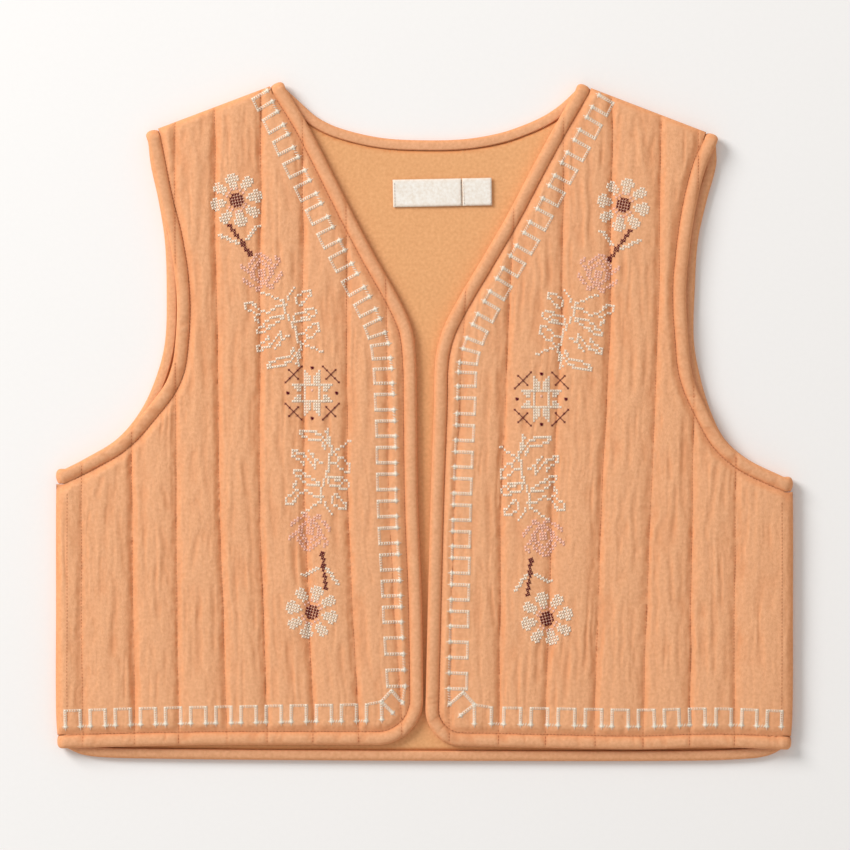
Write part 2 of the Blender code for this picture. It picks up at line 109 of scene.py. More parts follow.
# How finely the shapes are made: distances between points, and points handled at a time
EDGE_STEP = 0.8
CURVE_STEP = 2.0
RING_SHARES = (0.0, 0.1, 0.3, 0.6, 1.0)
SEAM_CLEARANCE = 3.0
FRONT_GRID = {"step": 0.56, "tall": 2.1, "near_lines": (0.0, 0.5, 1.1, 1.9)}
BACK_GRID = {"step": 1.2, "tall": 1.6, "near_lines": (0.0, 0.6, 1.4)}
HIDDEN_STEP = 7.0
LINING_STEPS = (2.1, 12.0)
FOLD_ANGLES = (12, 24, 36, 48, 60, 72, 82, 90)
NEAR_CHUNK = 20000
INSIDE_CHUNK = 4000
NOISE_CELLS = 257

# Where the fold lines of the shoulders and sides end, shared by front and back
CORNERS = {
    # name: (x right, y right), (x left, y left)
    "neck": ((-69.3, 166.1), (75.3, 165.2)),
    "shoulder": ((-138.3, 140.0), (145.8, 138.2)),
    "underarm": ((-179.7, -23.8), (179.6, -27.8)),
    "hem": ((-178.9, -163.4), (178.6, -164.0)),
}
SIDE_FOLD = (
    # y, x right, x left
    (-42.0, -180.1, 180.1),
    (-95.0, -180.1, 180.1),
    (-145.0, -180.1, 179.9),
)
FRONT_EDGE = (
    # y, x right, x left
    (148.0, -58.3, 65.3), (126.0, -47.0, 53.4), (104.0, -36.0, 41.9), (82.0, -24.4, 29.2),
    (61.0, -12.6, 16.8), (46.0, -6.2, 9.2), (31.0, -4.3, 5.4), (8.0, -3.8, 4.7), (-40.0, -3.2, 3.0),
    (-90.0, -1.3, 1.7),
)
FRONT_CORNER = {"x": (-0.6, 0.4), "y": (-161.8, -162.4), "radius": (23.0, 18.5)}
FRONT_HEM = (
    # share of the way from the round corner to the side, y right, y left
    (0.0, -161.8, -162.4),
    (0.28, -161.7, -163.3),
    (0.55, -161.9, -164.0),
    (0.78, -162.5, -163.0),
)
ARMHOLE = (
    # y, x of the right front, right back, left front, left back
    (128.0, -136.0, -136.9, 141.1, 145.9),
    (110.0, -132.3, -133.0, 136.3, 141.1),
    (90.0, -127.4, -129.9, 133.0, 136.8),
    (65.0, -124.0, -129.0, 130.8, 135.2),
    (40.0, -124.5, -129.8, 132.0, 134.8),
    (22.0, -128.0, -134.3, 134.3, 138.0),
    (5.0, -139.9, -142.2, 141.6, 143.2),
    (-9.0, -153.1, -154.0, 149.6, 150.3),
    (-19.0, -170.0, -170.4, 161.2, 161.8),
)
BACK_NECK = (
    # share of the way from the right neck corner to the left, y
    (0.05, 159.4), (0.11, 151.9), (0.19, 146.5), (0.33, 141.8), (0.48, 140.6), (0.62, 141.2),
    (0.74, 144.2), (0.83, 148.6), (0.90, 153.4), (0.955, 159.0),
)
BACK_HEM = (
    # share of the way from the right hem corner to the left, y
    (0.02, -166.6),
    (0.05, -168.1),
    (0.12, -168.8),
    (0.30, -169.5),
    (0.55, -169.9),
    (0.88, -169.8),
    (0.96, -168.6),
    (0.985, -166.8),
)

# Quilting lines of the fronts, from the side to the front edge
QUILTING_Y = (150.0, 50.0, -50.0, -150.0)
QUILTING_PULL = {
    # how hard each line pulls the cloth down, with the side and the front edge at the ends
    "right": (0.5, 0.3, 1.0, 0.75, 1.0, 0.8, 0.8, 0.75, 0.6, 0.3),
    "left": (0.3, 0.55, 0.7, 0.65, 0.8, 0.7, 0.75, 0.5, 0.5),
}
QUILTING = {
    "right": (
        # x at each height in QUILTING_Y
        (-171.5, -171.5, -171.5, -171.0),
        (-146.5, -146.5, -146.3, -144.8),
        (-124.7, -124.7, -124.4, -122.8),
        (-104.9, -104.0, -102.3, -98.8),
        (-81.8, -82.3, -82.4, -78.5),
        (-60.8, -60.8, -60.0, -55.5),
        (-39.5, -38.9, -38.4, -33.2),
        (-21.0, -18.9, -17.8, -11.6),
    ),
    "left": (
        (155.5, 155.5, 155.2, 154.4),
        (137.0, 135.0, 133.6, 132.4),
        (118.2, 116.7, 112.3, 109.2),
        (93.8, 92.6, 88.0, 85.0),
        (69.5, 68.5, 63.5, 60.5),
        (46.5, 42.2, 37.7, 37.2),
        (23.0, 20.0, 14.3, 12.0),
    ),
}
BACK_QUILTING = (
    # x of the back's upright quilting lines
    -171.0, -149.5, -127.0, -105.5, -84.0, -62.0, -41.0, -19.5, 2.0, 23.5, 45.0, 66.0, 87.5, 109.5,
    131.0, 152.5, 172.0,
)
SIDE_REACH = 184.2
MIDDLE_REACH = 2.0

LABELS = {
    # name: x, y, width
    "neck_label": (1.4, 114.2, 34.4),
    "size_label": (26.3, 114.7, 14.8),
}
LABEL_HEIGHT = 13.8
LABEL_TILT = math.radians(1.1)
LABEL_ROWS = 14
LABEL_LEVEL = 0.42
LABEL_THICKNESS = 0.3
LABEL_SEAM = 0.9
# The stitches at a label's ends: their length, step, level, and distance from the end
LABEL_STITCH = {"length": 1.2, "step": 1.7, "level": 0.62, "from_end": 0.7}

# The strip's cross-section: distance in from the edge, height above the garment's inside
STRIP = (
    (5.2, 0.1), (4.5, -0.15), (3.2, -0.22), (1.9, -0.15), (0.9, 0.15), (0.25, 0.75), (0.0, 1.55),
    (0.08, 2.35), (0.5, 3.1), (1.2, 3.65), (2.1, 3.95), (3.1, 4.02), (4.1, 3.9), (5.0, 3.6),
    (5.8, 3.15), (6.35, 2.75), (6.6, 2.5), (5.4, 2.42), (1.5, 2.4), (1.2, 1.8), (1.5, 1.2),
    (4.8, 1.15),
)

# The y below which an edge is hem
HEM_TOP = -135.0

# The main creases of the fronts: x and y of the top, x and y of the foot, depth, half width
CREASES = {
    "right": (
        (-178.5, -39, -178.6, -127, 0.2, 2.2), (-161.6, -26, -162.9, -41, 0.45, 1.3),
        (-153.5, -43, -147.9, -84, 0.35, 1.2), (-161.6, -77, -161.0, -93, 0.25, 1.0),
        (-156.6, -94, -154.8, -122, 0.4, 1.1), (-154.7, -75, -153.5, -109, 0.25, 1.0),
        (-166.0, -46, -165.0, -88, 0.15, 1.3), (-138.5, -46, -139.1, -60, 0.3, 1.1),
        (-132.3, -31, -126.4, -46, 0.35, 1.2), (-131.0, -48, -127.6, -89, 0.45, 1.2),
        (-134.0, -68, -133.5, -103, 0.3, 1.0), (-138.3, -82, -137.2, -110, 0.2, 1.1),
        (-129.8, -112, -129.0, -136, 0.35, 1.1), (-136.0, -108, -135.0, -137, 0.2, 1.2),
        (-114.0, -35, -110.5, -54, 0.3, 1.2), (-111.5, -51, -116.0, -77, 0.35, 1.2),
        (-111.0, -9, -106.4, -43, 0.4, 1.3), (-106.0, -44, -107.3, -66, 0.3, 1.0),
        (-112.3, -75, -111.6, -134, 0.35, 1.1), (-117.3, -96, -116.0, -134, 0.25, 1.0),
        (-106.0, -76, -104.8, -129, 0.35, 1.2), (-121.0, -8, -122.3, -28, 0.25, 1.2),
        (-95.4, -35, -96.0, -79, 0.3, 1.2), (-90.4, -16, -89.8, -45, 0.4, 1.2),
        (-86.3, -46, -86.0, -104, 0.35, 1.1), (-94.8, -68, -93.5, -116, 0.4, 1.2),
        (-98.5, -92, -97.0, -131, 0.2, 1.2), (-86.5, -102, -83.0, -131, 0.35, 1.2),
        (-72.9, 8, -71.6, -24, 0.5, 1.5), (-71.0, -25, -69.0, -51, 0.4, 1.2),
        (-66.0, -57, -63.7, -84, 0.45, 1.3), (-72.9, -84, -71.0, -104, 0.35, 1.2),
        (-68.5, -107, -64.8, -137, 0.35, 1.2), (-48.5, -112, -47.9, -135, 0.35, 1.2),
        (-42.0, -107, -39.8, -137, 0.35, 1.3), (-46.0, -42, -44.0, -71, 0.35, 1.3),
        (-34.8, -22, -28.5, -71, 0.25, 1.8), (-27.2, -42, -26.9, -61, 0.3, 1.3),
        (-29.8, -100, -27.0, -129, 0.3, 1.4), (-122.0, 146, -121.0, 117, 0.3, 1.5),
        (-114.8, 150, -111.0, 126, 0.35, 1.5), (-110.4, 133, -109.8, 99, 0.45, 1.8),
        (-111.0, 101, -112.3, 86, 0.3, 1.2), (-115.5, 84, -114.5, 50, 0.2, 1.6),
        (-111.4, 50, -110.0, 8, 0.3, 1.4), (-117.0, 40, -116.5, 4, 0.2, 1.3),
        (-122.0, 14, -120.5, -2, 0.3, 1.0), (-99.8, 157, -97.0, 126, 0.4, 1.4),
        (-98.5, 88, -96.0, 51, 0.35, 1.4), (-90.4, 157, -89.8, 126, 0.35, 1.3),
        (-87.0, 150, -85.2, 121, 0.4, 1.3), (-77.0, 125, -76.0, 89, 0.3, 1.4),
        (-72.0, 130, -66.5, 99, 0.4, 1.6), (-73.5, 92, -71.0, 74, 0.3, 1.2),
        (-66.0, 88, -64.2, 66, 0.4, 1.5), (-54.0, 92, -52.0, 66, 0.2, 1.8),
        (-48.5, 78, -47.0, 59, 0.3, 1.6), (-43.5, 56, -42.6, 26, 0.4, 1.3),
        (-32.0, 58, -31.0, 34, 0.25, 1.5), (-28.5, 43, -27.0, 11, 0.3, 1.3),
        (-89.8, 55, -90.4, 4, 0.35, 1.2), (-94.8, 50, -95.4, 4, 0.35, 1.2),
        (-77.0, 30, -76.0, 1, 0.3, 1.2),
    ),
    "left": (
        (31.5, -35, 34.2, -71, 0.45, 1.6), (27.4, -66, 31.0, -78, 0.3, 1.0),
        (29.0, -100, 26.5, -116, 0.25, 1.1), (34.0, -80, 34.4, -106, 0.4, 1.4),
        (20.5, -84, 21.0, -122, 0.2, 1.5), (45.0, -40, 46.5, -61, 0.35, 1.2),
        (43.0, -84, 44.5, -104, 0.3, 1.2), (47.8, -113, 45.0, -139, 0.35, 1.3),
        (52.8, -112, 50.0, -139, 0.35, 1.2), (57.0, -104, 56.4, -138, 0.4, 1.3),
        (66.5, -112, 67.8, -136, 0.3, 1.2), (71.5, -112, 72.0, -136, 0.3, 1.1),
        (76.5, -106, 76.0, -138, 0.35, 1.3), (81.0, -98, 80.5, -130, 0.3, 1.2),
        (77.8, 6, 76.0, -31, 0.3, 1.3), (82.8, 1, 81.5, -32, 0.35, 1.3),
        (85.2, -46, 84.4, -88, 0.3, 1.3), (95.6, 6, 94.0, -33, 0.25, 1.3),
        (98.4, -34, 96.5, -71, 0.35, 1.2), (102.8, 4, 101.0, -30, 0.35, 1.3),
        (105.4, -31, 104.6, -79, 0.4, 1.2), (93.0, -70, 92.0, -120, 0.2, 1.3),
        (99.0, -84, 98.0, -134, 0.3, 1.2), (104.0, -90, 103.6, -136, 0.3, 1.2),
        (122.0, -18, 122.8, -32, 0.35, 1.0), (125.9, -29, 123.6, -64, 0.45, 1.2),
        (129.6, 5, 128.9, -33, 0.35, 1.2), (122.0, -64, 124.0, -99, 0.45, 1.2),
        (116.5, -47, 115.9, -104, 0.3, 1.3), (128.2, -62, 127.6, -98, 0.3, 1.2),
        (127.4, -98, 127.0, -131, 0.35, 1.2), (120.0, -98, 119.4, -129, 0.25, 1.1),
        (146.5, -16, 141.5, -56, 0.5, 1.3), (151.0, -22, 148.8, -42, 0.35, 1.1),
        (141.5, -55, 142.0, -91, 0.35, 1.3), (147.8, -52, 149.0, -104, 0.35, 1.2),
        (137.5, -92, 138.0, -132, 0.2, 1.3), (145.0, -98, 144.8, -134, 0.3, 1.2),
        (151.4, -104, 150.8, -134, 0.3, 1.2), (160.6, -32, 161.0, -44, 0.3, 1.0),
        (165.4, -34, 165.0, -47, 0.3, 1.0), (162.8, -100, 164.0, -129, 0.25, 1.5),
        (169.0, -98, 169.0, -138, 0.3, 1.4), (168.0, -52, 169.5, -90, 0.2, 1.8),
        (97.2, 157, 96.6, 126, 0.45, 1.3), (104.0, 155, 105.0, 133, 0.35, 1.3),
        (109.5, 144, 112.2, 121, 0.45, 1.4), (114.4, 150, 113.6, 126, 0.35, 1.2),
        (100.0, 85, 101.0, 58, 0.3, 1.3), (106.5, 88, 107.8, 58, 0.3, 1.3),
        (111.8, 83, 111.2, 46, 0.4, 1.3), (105.0, 53, 104.0, 8, 0.3, 1.2),
        (99.0, 50, 98.0, 8, 0.3, 1.2), (110.6, 44, 110.0, 10, 0.35, 1.3),
        (125.4, 120, 124.4, 88, 0.25, 1.5), (121.5, 38, 120.9, 3, 0.25, 1.3),
        (82.8, 141, 83.2, 88, 0.45, 1.4), (77.8, 125, 79.0, 99, 0.35, 1.3),
        (75.0, 113, 74.4, 88, 0.3, 1.2), (88.5, 150, 88.0, 122, 0.3, 1.2),
        (62.8, 98, 61.5, 58, 0.4, 1.4), (66.0, 88, 64.6, 63, 0.35, 1.2),
        (57.8, 88, 57.0, 51, 0.35, 1.3), (54.0, 80, 52.0, 46, 0.3, 1.3),
        (48.8, 75, 47.8, 38, 0.3, 1.2), (37.8, 58, 36.5, 26, 0.45, 1.5),
        (38.6, 28, 37.4, 0, 0.4, 1.4), (32.0, 30, 31.0, -6, 0.25, 1.4),
        (84.6, 23, 84.0, 1, 0.3, 1.2), (79.6, 25, 80.6, 1, 0.3, 1.2),
    ),
}

# Charts: c is a cream cross, p a pink one and b a burgundy one
FLOWER = """
........ccc........
.......ccccc.......
...cc..ccccc..cc...
..cccc..ccc..cccc..
..ccccc.ccc.ccccc..
...cccc.pcp.cccc...
.....c.p...p.c.....
.cc...p.bbb.p...cc.
ccccc..bbbbb..ccccc
cccccc.bbbbb.cccccc
ccccc..bbbbb..ccccc
.cc...p.bbb.p...cc.
.....c.p...p.c.....
...cccc.pcp.cccc...
..ccccc.ccc.ccccc..
..cccc..ccc..cccc..
...cc..ccccc..cc...
.......ccccc.......
........ccc........
"""
STEM = """
....bb............
.....b............
.....bb.......ccc.
cc....b......cc...
.ccc..bb....cc....
...cc..b...cc.....
....ccc.b.cc......
......ccbb........
........bb........
.........b........
.........bb.......
..........bb......
..........bb......
"""
TULIP = """
......ppp......
.....pp.pp.....
....pp.p.pp..p.
p..pp.ppp.pp.pp
pp.p.pp.pp.p..p
.pp.pp...pp.pp.
..ppp.ppp.ppp..
...pp.ppp.pp...
p..pp.ppp.pp..p
pp..pp.p.pp..pp
.pp..ppppp..pp.
..pp..ppp..pp..
....ppp.ppp....
....pp...pp....
"""
BRANCH = """
........cc...........c........
..........cc........c.........
............c......c....cccc..
.cccc........cc...c...cc...c..
.c..cc.........cc.c..c....cc..
.c...c..........c....c...c....
..cc..c......ccccc...c.cc.....
....c..cc..cc...c.....cc......
.....cc..cc.....c.............
....c...........c.......cccc..
....cc....cccccc.c..ccccc...c.
.....c..cc....cc.c.c.....c..c.
.......c....cc...c.c..ccc.cc..
.....ccc.ccc......cccccccc....
....c...cc........c...........
....cccc..........cc......ccc.
.............c.....c....cc..c.
........c...cc.....c...c....c.
.......cc..c.c.cc..cccc....cc.
.....cc...c..cc....c...c..c...
...cc...cc..c......c...ccc....
...c.cccc..cc......cc.c.......
...ccc....c.........cc........
.................c..c.cc......
................cc.cc...cc....
................c.cc......c...
..........cccccc.ccc.......cc.
.......ccc......c.cc..........
......cc.....ccc..c...........
......cccccccc...cc...........
..................c...........
"""
STAR = """
.....c.....c.....
.....cc...cc.....
.....ccc.ccc.....
.....ccc.ccc.....
.....ccc.ccc.....
ccccccccccccccccc
.ccc.c.....c.ccc.
..cc.c..p..c.cc..
.....c.....c.....
..cc.c.....c.cc..
.ccc.c.....c.ccc.
ccccccccccccccccc
.....ccc.ccc.....
.....ccc.ccc.....
.....ccc.ccc.....
.....cc...cc.....
.....c.....c.....
"""
# How thick each colour's thread is, and how far its crosses reach into their corners
THICKNESS = {"c": 1.1, "p": 1.0, "b": 0.95}
REACH = {"c": 0.9, "p": 0.86, "b": 1.02}
STAR_PLACES = ((-56.1, 14.1), (58.4, 11.1))
MOTIFS = (
    # chart, its middle on the right front and on the left, pitch across and down, and for the
    # right front its turn in degrees, mirrored, upside down
    (FLOWER, (-93.9, 110.4), (99.3, 108.0), 1.38, 1.42, 12, False, False),
    (STEM, (-90.9, 90.6), (96.2, 87.9), 1.32, 1.36, 9, False, False),
    (TULIP, (-81.3, 74.8), (86.9, 74.0), 1.36, 1.38, 10, False, False),
    (BRANCH, (-70.2, 46.2), (75.2, 44.9), 1.28, 1.29, 9, False, False),
    (STAR, *STAR_PLACES, 1.2, 1.36, 0, False, False),
    (BRANCH, (-53.0, -24.9), (53.8, -27.9), 1.15, 1.41, -2, False, True),
    (TULIP, (-57.3, -55.4), (59.4, -58.1), 1.36, 1.38, -8, False, True),
    (STEM, (-51.2, -74.2), (53.4, -77.4), 1.2, 1.36, -19, True, True),
    (FLOWER, (-56.3, -95.4), (61.2, -98.6), 1.38, 1.42, -14, False, True),
)
SALTIRE = {"away": (9.3, 9.3), "long": 5.6, "short": 3.2}
KNOTS_AWAY = (12.2, 12.6)
KNOT_CLUSTER = ((0.35, 0.1), (-0.35, 0.25), (0.0, -0.35))
KNOT_SIZE = 1.1

# The border down the front edge: where its first bar stands and how long its first inner run is
BORDER_START = -4.0
BORDER_FIRST = {"right": 5.9, "left": 6.8}
BORDER_STEPS = {
    # how many times: along an outer run, along the inner run after it
    "right": ((9, 5.6, 7.35), (1, 5.7, 8.8), (1, 8.3, 8.3), (10, 5.65, 7.6), (2, 8.0, 8.1)),
    "left": ((9, 5.85, 7.3), (1, 6.0, 8.9), (1, 7.1, 8.9), (10, 5.8, 7.5), (2, 7.8, 7.8)),
}
BORDER_DEPTHS = {
    # along the edge, how far in the outer run lies, how far in the inner run lies
    "right": (
        (-4, 8.3, 16.8),
        (27, 11.6, 19.8),
        (100, 12.0, 20.7),
        (133, 13.4, 22.0),
        (156, 12.3, 21.2),
        (190, 10.9, 20.2),
        (240, 11.0, 20.0),
        (282, 10.4, 19.3),
        (314, 8.9, 17.8),
    ),
    "left": (
        (-4, 11.4, 19.6),
        (20, 12.0, 20.7),
        (100, 11.5, 19.8),
        (136, 12.8, 21.2),
        (170, 11.8, 20.6),
        (200, 11.6, 20.1),
        (316, 11.6, 20.4),
    ),
}
# The fan at the round corner: two knots with a peak between, the hub, then two more knots
BORDER_FAN = {
    "right": ((-11.0, -140.7), (-16.4, -134.5), (-21.5, -140.0), (-15.9, -145.6), (-21.3, -148.9)),
    "left": ((12.6, -141.4), (19.4, -135.4), (25.0, -141.5), (18.1, -146.9), (24.9, -151.0)),
}
HEM_FIRST = {"right": -29.0, "left": 33.2}
HEM_STEPS = {
    # how many times: along an outer run, along the inner run after it
    "right": ((12, 4.98, 7.52),),
    "left": ((1, 6.2, 8.4), (5, 5.25, 8.25), (5, 5.2, 7.35)),
}
HEM_DEPTHS = {
    # distance of the middle of the garment, how far in the outer run lies, and the inner run
    "right": ((29, 12.1, 20.3), (47, 11.9, 20.0), (97, 11.2, 19.2), (180, 10.8, 18.8)),
    "left": ((33, 11.6, 19.7), (90, 11.6, 19.9), (180, 11.4, 19.2)),
}
BORDER_THREADS = (
    # bars, inner runs and outer runs: pitch, width, slants, thickness
    (1.2, 1.75, (-0.9, 0.9), 0.9),
    (1.2, 1.4, (-0.9, 0.9), 0.7),
    (1.25, 1.6, (0.9,), 0.9),
)
SHORTEST_RUN = 1.0
# The legs of a border knot: share along its bar, share across it, half length
KNOT_LEGS = ((1, 0, 1.9), (0, 1, 1.6), (1, 1, 0.9), (1, -1, 0.9))

# How thick a stitch is along its length, against its own radius
CROSS_TAPER = np.array((0.6, 1.0, 1.0, 0.6))
LADDER_TAPER = np.array((0.75, 1.0, 0.75))
MACHINE_TAPER = np.array((0.8, 1.0, 0.8))

# Machine stitches: length and radius in the quilting and in the seams, then gap, lift and sink
QUILTED = (1.0, 0.14)
SEWN = (1.1, 0.13)
MACHINE_GAP = 0.6
MACHINE_LIFT = 0.1
MACHINE_SINK = 0.06

# Cloth materials
CLOTHS = {
    # name: colour, thread pitch, roughness, sheen, unevenness, depth of the weave, crimp
    "crinkled gauze": ("gauze", 0.46, 0.92, 0.25, 2.0, 0.22, 0.7),
    "binding gauze": ("binding", 0.46, 0.92, 0.25, 2.0, 0.2, 0.3),
    "plain lining": ("lining", 0.36, 0.90, 0.15, 0.6, 0.05, 0.0),
    "label tape": ("label", 0.3, 0.6, 0.1, 0.3, 0.03, 0.0),
}

# The stage, in metres
FLOOR_REACH = 3.0
FLOOR_DROP = 0.0002
KEY_PLACE = (-2.29, 1.74, 1.83)
KEY_SIZE = 1.7
KEY_COLOUR = (1.0, 0.995, 0.985)
SKY_COLOUR = (1.0, 0.965, 0.925, 1.0)
LENS = 250.0
SENSOR = 36.0
PICTURE_WIDTH = 0.425
CAMERA_PLACE = (0.00025, -0.001875)
CAMERA_LEVEL = 0.004
CLIP_END = 20.0


def unit(vector):
    return vector / np.linalg.norm(vector)


def through(points, step):
    """A smooth curve through the points, with its own points about a step apart."""
    p = np.array(points, float)
    p = np.vstack([2 * p[0] - p[1], p, 2 * p[-1] - p[-2]])
    curve = []
    for before, a, b, after in zip(p[:-3], p[1:-2], p[2:-1], p[3:]):
        length = np.linalg.norm(b - a)
        count = max(1, round(length / step))
        ta = (b - before) / np.linalg.norm(b - before) * length
        tb = (after - a) / np.linalg.norm(after - a) * length
        for t in np.arange(count) / count:
            s = 1 - t
            hermite_a = s * s * (1 + 2 * t) * a + t * s * s * ta
            hermite_b = t * t * (1 + 2 * s) * b - t * t * s * tb
            curve.append(hermite_a + hermite_b)
    curve.append(p[-2])
    return np.array(curve)


def lengths_along(line):
    return np.concatenate([[0], np.cumsum(np.linalg.norm(np.diff(line, axis=0), axis=1))])


def resampled(line, step):
    """An open line with its points evenly spaced."""
    along = lengths_along(line)
    at = np.linspace(0, along[-1], max(2, round(along[-1] / step) + 1))
    return np.stack([np.interp(at, along, line[:, k]) for k in range(line.shape[1])], axis=1)


def nearest_on(line, points):
    """Each point's distance to an open line, its place along that line, and the side it is on."""
    lengths = lengths_along(line)
    size = (line**2).sum(axis=1)
    closest = np.empty(len(points), int)
    for first in range(0, len(points), NEAR_CHUNK):
        chunk = slice(first, first + NEAR_CHUNK)
        closest[chunk] = (size - 2 * points[chunk] @ line.T).argmin(axis=1)
    found = None
    for step in (-1, 0):
        i = np.clip(closest + step, 0, len(line) - 2)
        span = line[i + 1] - line[i]
        length = np.linalg.norm(span, axis=1)
        near = points - line[i]
        t = np.clip((near * span).sum(axis=1) / length**2, 0, 1)
        away = np.linalg.norm(near - t[:, None] * span, axis=1)
        side = np.sign(span[:, 0] * near[:, 1] - span[:, 1] * near[:, 0])
        values = np.stack([away, lengths[i] + t * length, side])
        found = values if found is None else np.where(away < found[0], values, found)
    return found


class Edge:
    """A bound edge: its points, the way in from each, and the way out over the fold at each end."""

    MITRE = 11.0

    def __init__(self, points, inside, start, end):
        self.points = resampled(np.array(points, float), EDGE_STEP)
        self.along = lengths_along(self.points)
        tangent = np.gradient(self.points, axis=0)
        tangent /= np.linalg.norm(tangent, axis=1)[:, None]
        normal = np.stack([-tangent[:, 1], tangent[:, 0]], axis=1)
        self.turn = 1.0
        if ((np.array(inside) - self.points) * normal).sum() < 0:
            normal, self.turn = -normal, -1.0
        self.normal = normal
        self.inward = normal.copy()
        self.outs = [start["out"], end["out"]]
        self.tangent = tangent
        for which, fold in ((0, start), (-1, end)):
            leaning = fold["along"] / abs(normal[which] @ fold["along"])
            away = abs(self.along - self.along[which])
            share = np.clip(1 - away / self.MITRE, 0, 1)[:, None]
            self.inward = share * leaning + (1 - share) * self.inward
        self.length = self.along[-1]

    def offset(self, distance):
        return self.points + distance * self.inward

    def at(self, along, depth):
        """The point at a length along the edge, or past its ends, and a depth straight in."""
        along = np.asarray(along, float)
        past = along - np.clip(along, 0, self.length)
        place, way, ahead = (
            np.stack([np.interp(along, self.along, table[:, k]) for k in range(2)], axis=-1)
            for table in (self.points, self.normal, self.tangent)
        )
        return place + past[..., None] * ahead + np.asarray(depth, float)[..., None] * way

    def measured(self, points):
        """How far in from the edge each point is, and how far along."""
        reach = 12.0
        first = self.points[0] - reach * self.tangent[0]
        last = self.points[-1] + reach * self.tangent[-1]
        away, along, side = nearest_on(np.vstack([first, self.points, last]), points)
        return side * self.turn * away, along - reach


def corner(name, side):
    return np.array(CORNERS[name][SIDES.index(side)])


def fold_line(side, names):
    """The points of a shoulder's or a side's fold line, and the way out from each."""
    points = [corner(names[0], side)]
    if names[0] == "underarm":
        column = 1 + SIDES.index(side)
        points += [np.array((row[column], row[0])) for row in SIDE_FOLD]
    points.append(corner(names[1], side))
    points = through(points, 1.5)
    along = np.gradient(points, axis=0)
    along /= np.linalg.norm(along, axis=1)[:, None]
    out = np.stack([-along[:, 1], along[:, 0]], axis=1)
    if (out * points).sum() < 0:
        out = -out
    return points, out


def fold_end(side, name):
    """The way into the cloth along the fold line at one of its ends, and the way out over it."""
    names = ("neck", "shoulder") if name in ("neck", "shoulder") else ("underarm", "hem")
    points, out = fold_line(side, names)
    if name == names[0]:
        return {"along": unit(points[1] - points[0]), "out": out[0]}
    return {"along": unit(points[-2] - points[-1]), "out": out[-1]}


def front_edge(side):
    """Neck edge, front edge, round corner and hem of one front."""
    column = SIDES.index(side)
    toward_side = (-1, 1)[column]
    x, y, radius = (FRONT_CORNER[key][column] for key in ("x", "y", "radius"))
    centre = np.array((x + toward_side * radius, y + radius))
    upper = [corner("neck", side)]
    upper += [np.array((row[1 + column], row[0])) for row in FRONT_EDGE]
    upper.append(np.array((x, centre[1])))
    angles = np.linspace(0, math.pi / 2, 24)[1:-1]
    turn = centre + radius * np.stack([-toward_side * np.cos(angles), -np.sin(angles)], axis=1)
    end = corner("hem", side)
    hem = [(centre[0] + row[0] * (end[0] - centre[0]), row[1 + column]) for row in FRONT_HEM]
    points = np.vstack([through(upper, CURVE_STEP), turn, through([*hem, end], 3.0)])
    inside = (toward_side * 90.0, 0.0)
    return Edge(points, inside, fold_end(side, "neck"), fold_end(side, "hem"))


def armhole_edge(side, layer):
    """One armhole from shoulder to underarm, in the front or the back."""
    column = 1 + 2 * SIDES.index(side) + ("front", "back").index(layer)
    points = [corner("shoulder", side)]
    points += [np.array((row[column], row[0])) for row in ARMHOLE]
    points.append(corner("underarm", side))
    ends = fold_end(side, "shoulder"), fold_end(side, "underarm")
    return Edge(through(points, CURVE_STEP), (0.0, -60.0), *ends)


def across_back(table, name):
    """The neck or the hem of the back, from the wearer's right to left."""
    first, last = corner(name, "right"), corner(name, "left")
    points = [first]
    points += [np.array((first[0] + share * (last[0] - first[0]), y)) for share, y in table]
    points.append(last)
    ends = (fold_end(side, name) for side in SIDES)
    return Edge(through(points, CURVE_STEP), (0.0, 0.0), *ends)


def seam_rings(side, names, start, end):
    """The sewn edge between two bound ones: its outermost line and its fold line."""
    points, out = fold_line(side, names)
    ends = [edge.offset(OUTSIDE_FACE + GAP)[which] for edge, which in (start, end)]
    outs = [edge.outs[which] for edge, which in (start, end)]
    away = np.minimum(*(np.linalg.norm(points - points[i], axis=1) for i in (0, -1)))
    clear = away > OUTSIDE_FACE + SEAM_CLEARANCE
    points = np.vstack([ends[0], points[clear], ends[1]])
    out = np.vstack([outs[0], out[clear], outs[1]])
    return [points + FOLD * (1 - share) * out for share in RING_SHARES]


def outline_of(edges, seams):
    """The closed outline of a panel from its bound edges and the seams after each of them."""
    outline = []
    mark = OUTSIDE_FACE + GAP
    for (edge, forward), rings in zip(edges, seams):
        order = slice(None) if forward else slice(None, None, -1)
        first, last = (0, -1) if forward else (-1, 0)
        outline.append(edge.points[first] + mark * edge.inward[first])
        outline += list(edge.offset(RAW_EDGE)[order])
        outline.append(edge.points[last] + mark * edge.inward[last])
        outline += [ring[0] for ring in rings[::-1][1:]]
        outline += list(rings[0][1:])
        outline += [ring[-1] for ring in rings[1:-1]]
    return np.array(outline)


def inside_of(outline, points):
    """Which points lie inside a closed outline."""
    a, b = outline, np.roll(outline, -1, axis=0)
    rise = np.where(a[:, 1] == b[:, 1], 1.0, b[:, 1] - a[:, 1])
    slope = (b[:, 0] - a[:, 0]) / rise
    inside = np.zeros(len(points), bool)
    for first in range(0, len(points), INSIDE_CHUNK):
        chunk = slice(first, first + INSIDE_CHUNK)
        x, y = points[chunk, 0:1], points[chunk, 1:2]
        spans = (a[:, 1] > y) != (b[:, 1] > y)
        crossing = a[:, 0] + (y - a[:, 1]) * slope
        inside[chunk] = (spans & (x < crossing)).sum(axis=1) % 2 == 1
    return inside


def depth_in(edges, points):
    """How far in from the nearest of some bound edges each point is."""
    return np.minimum.reduce([edge.measured(points)[0] for edge in edges])


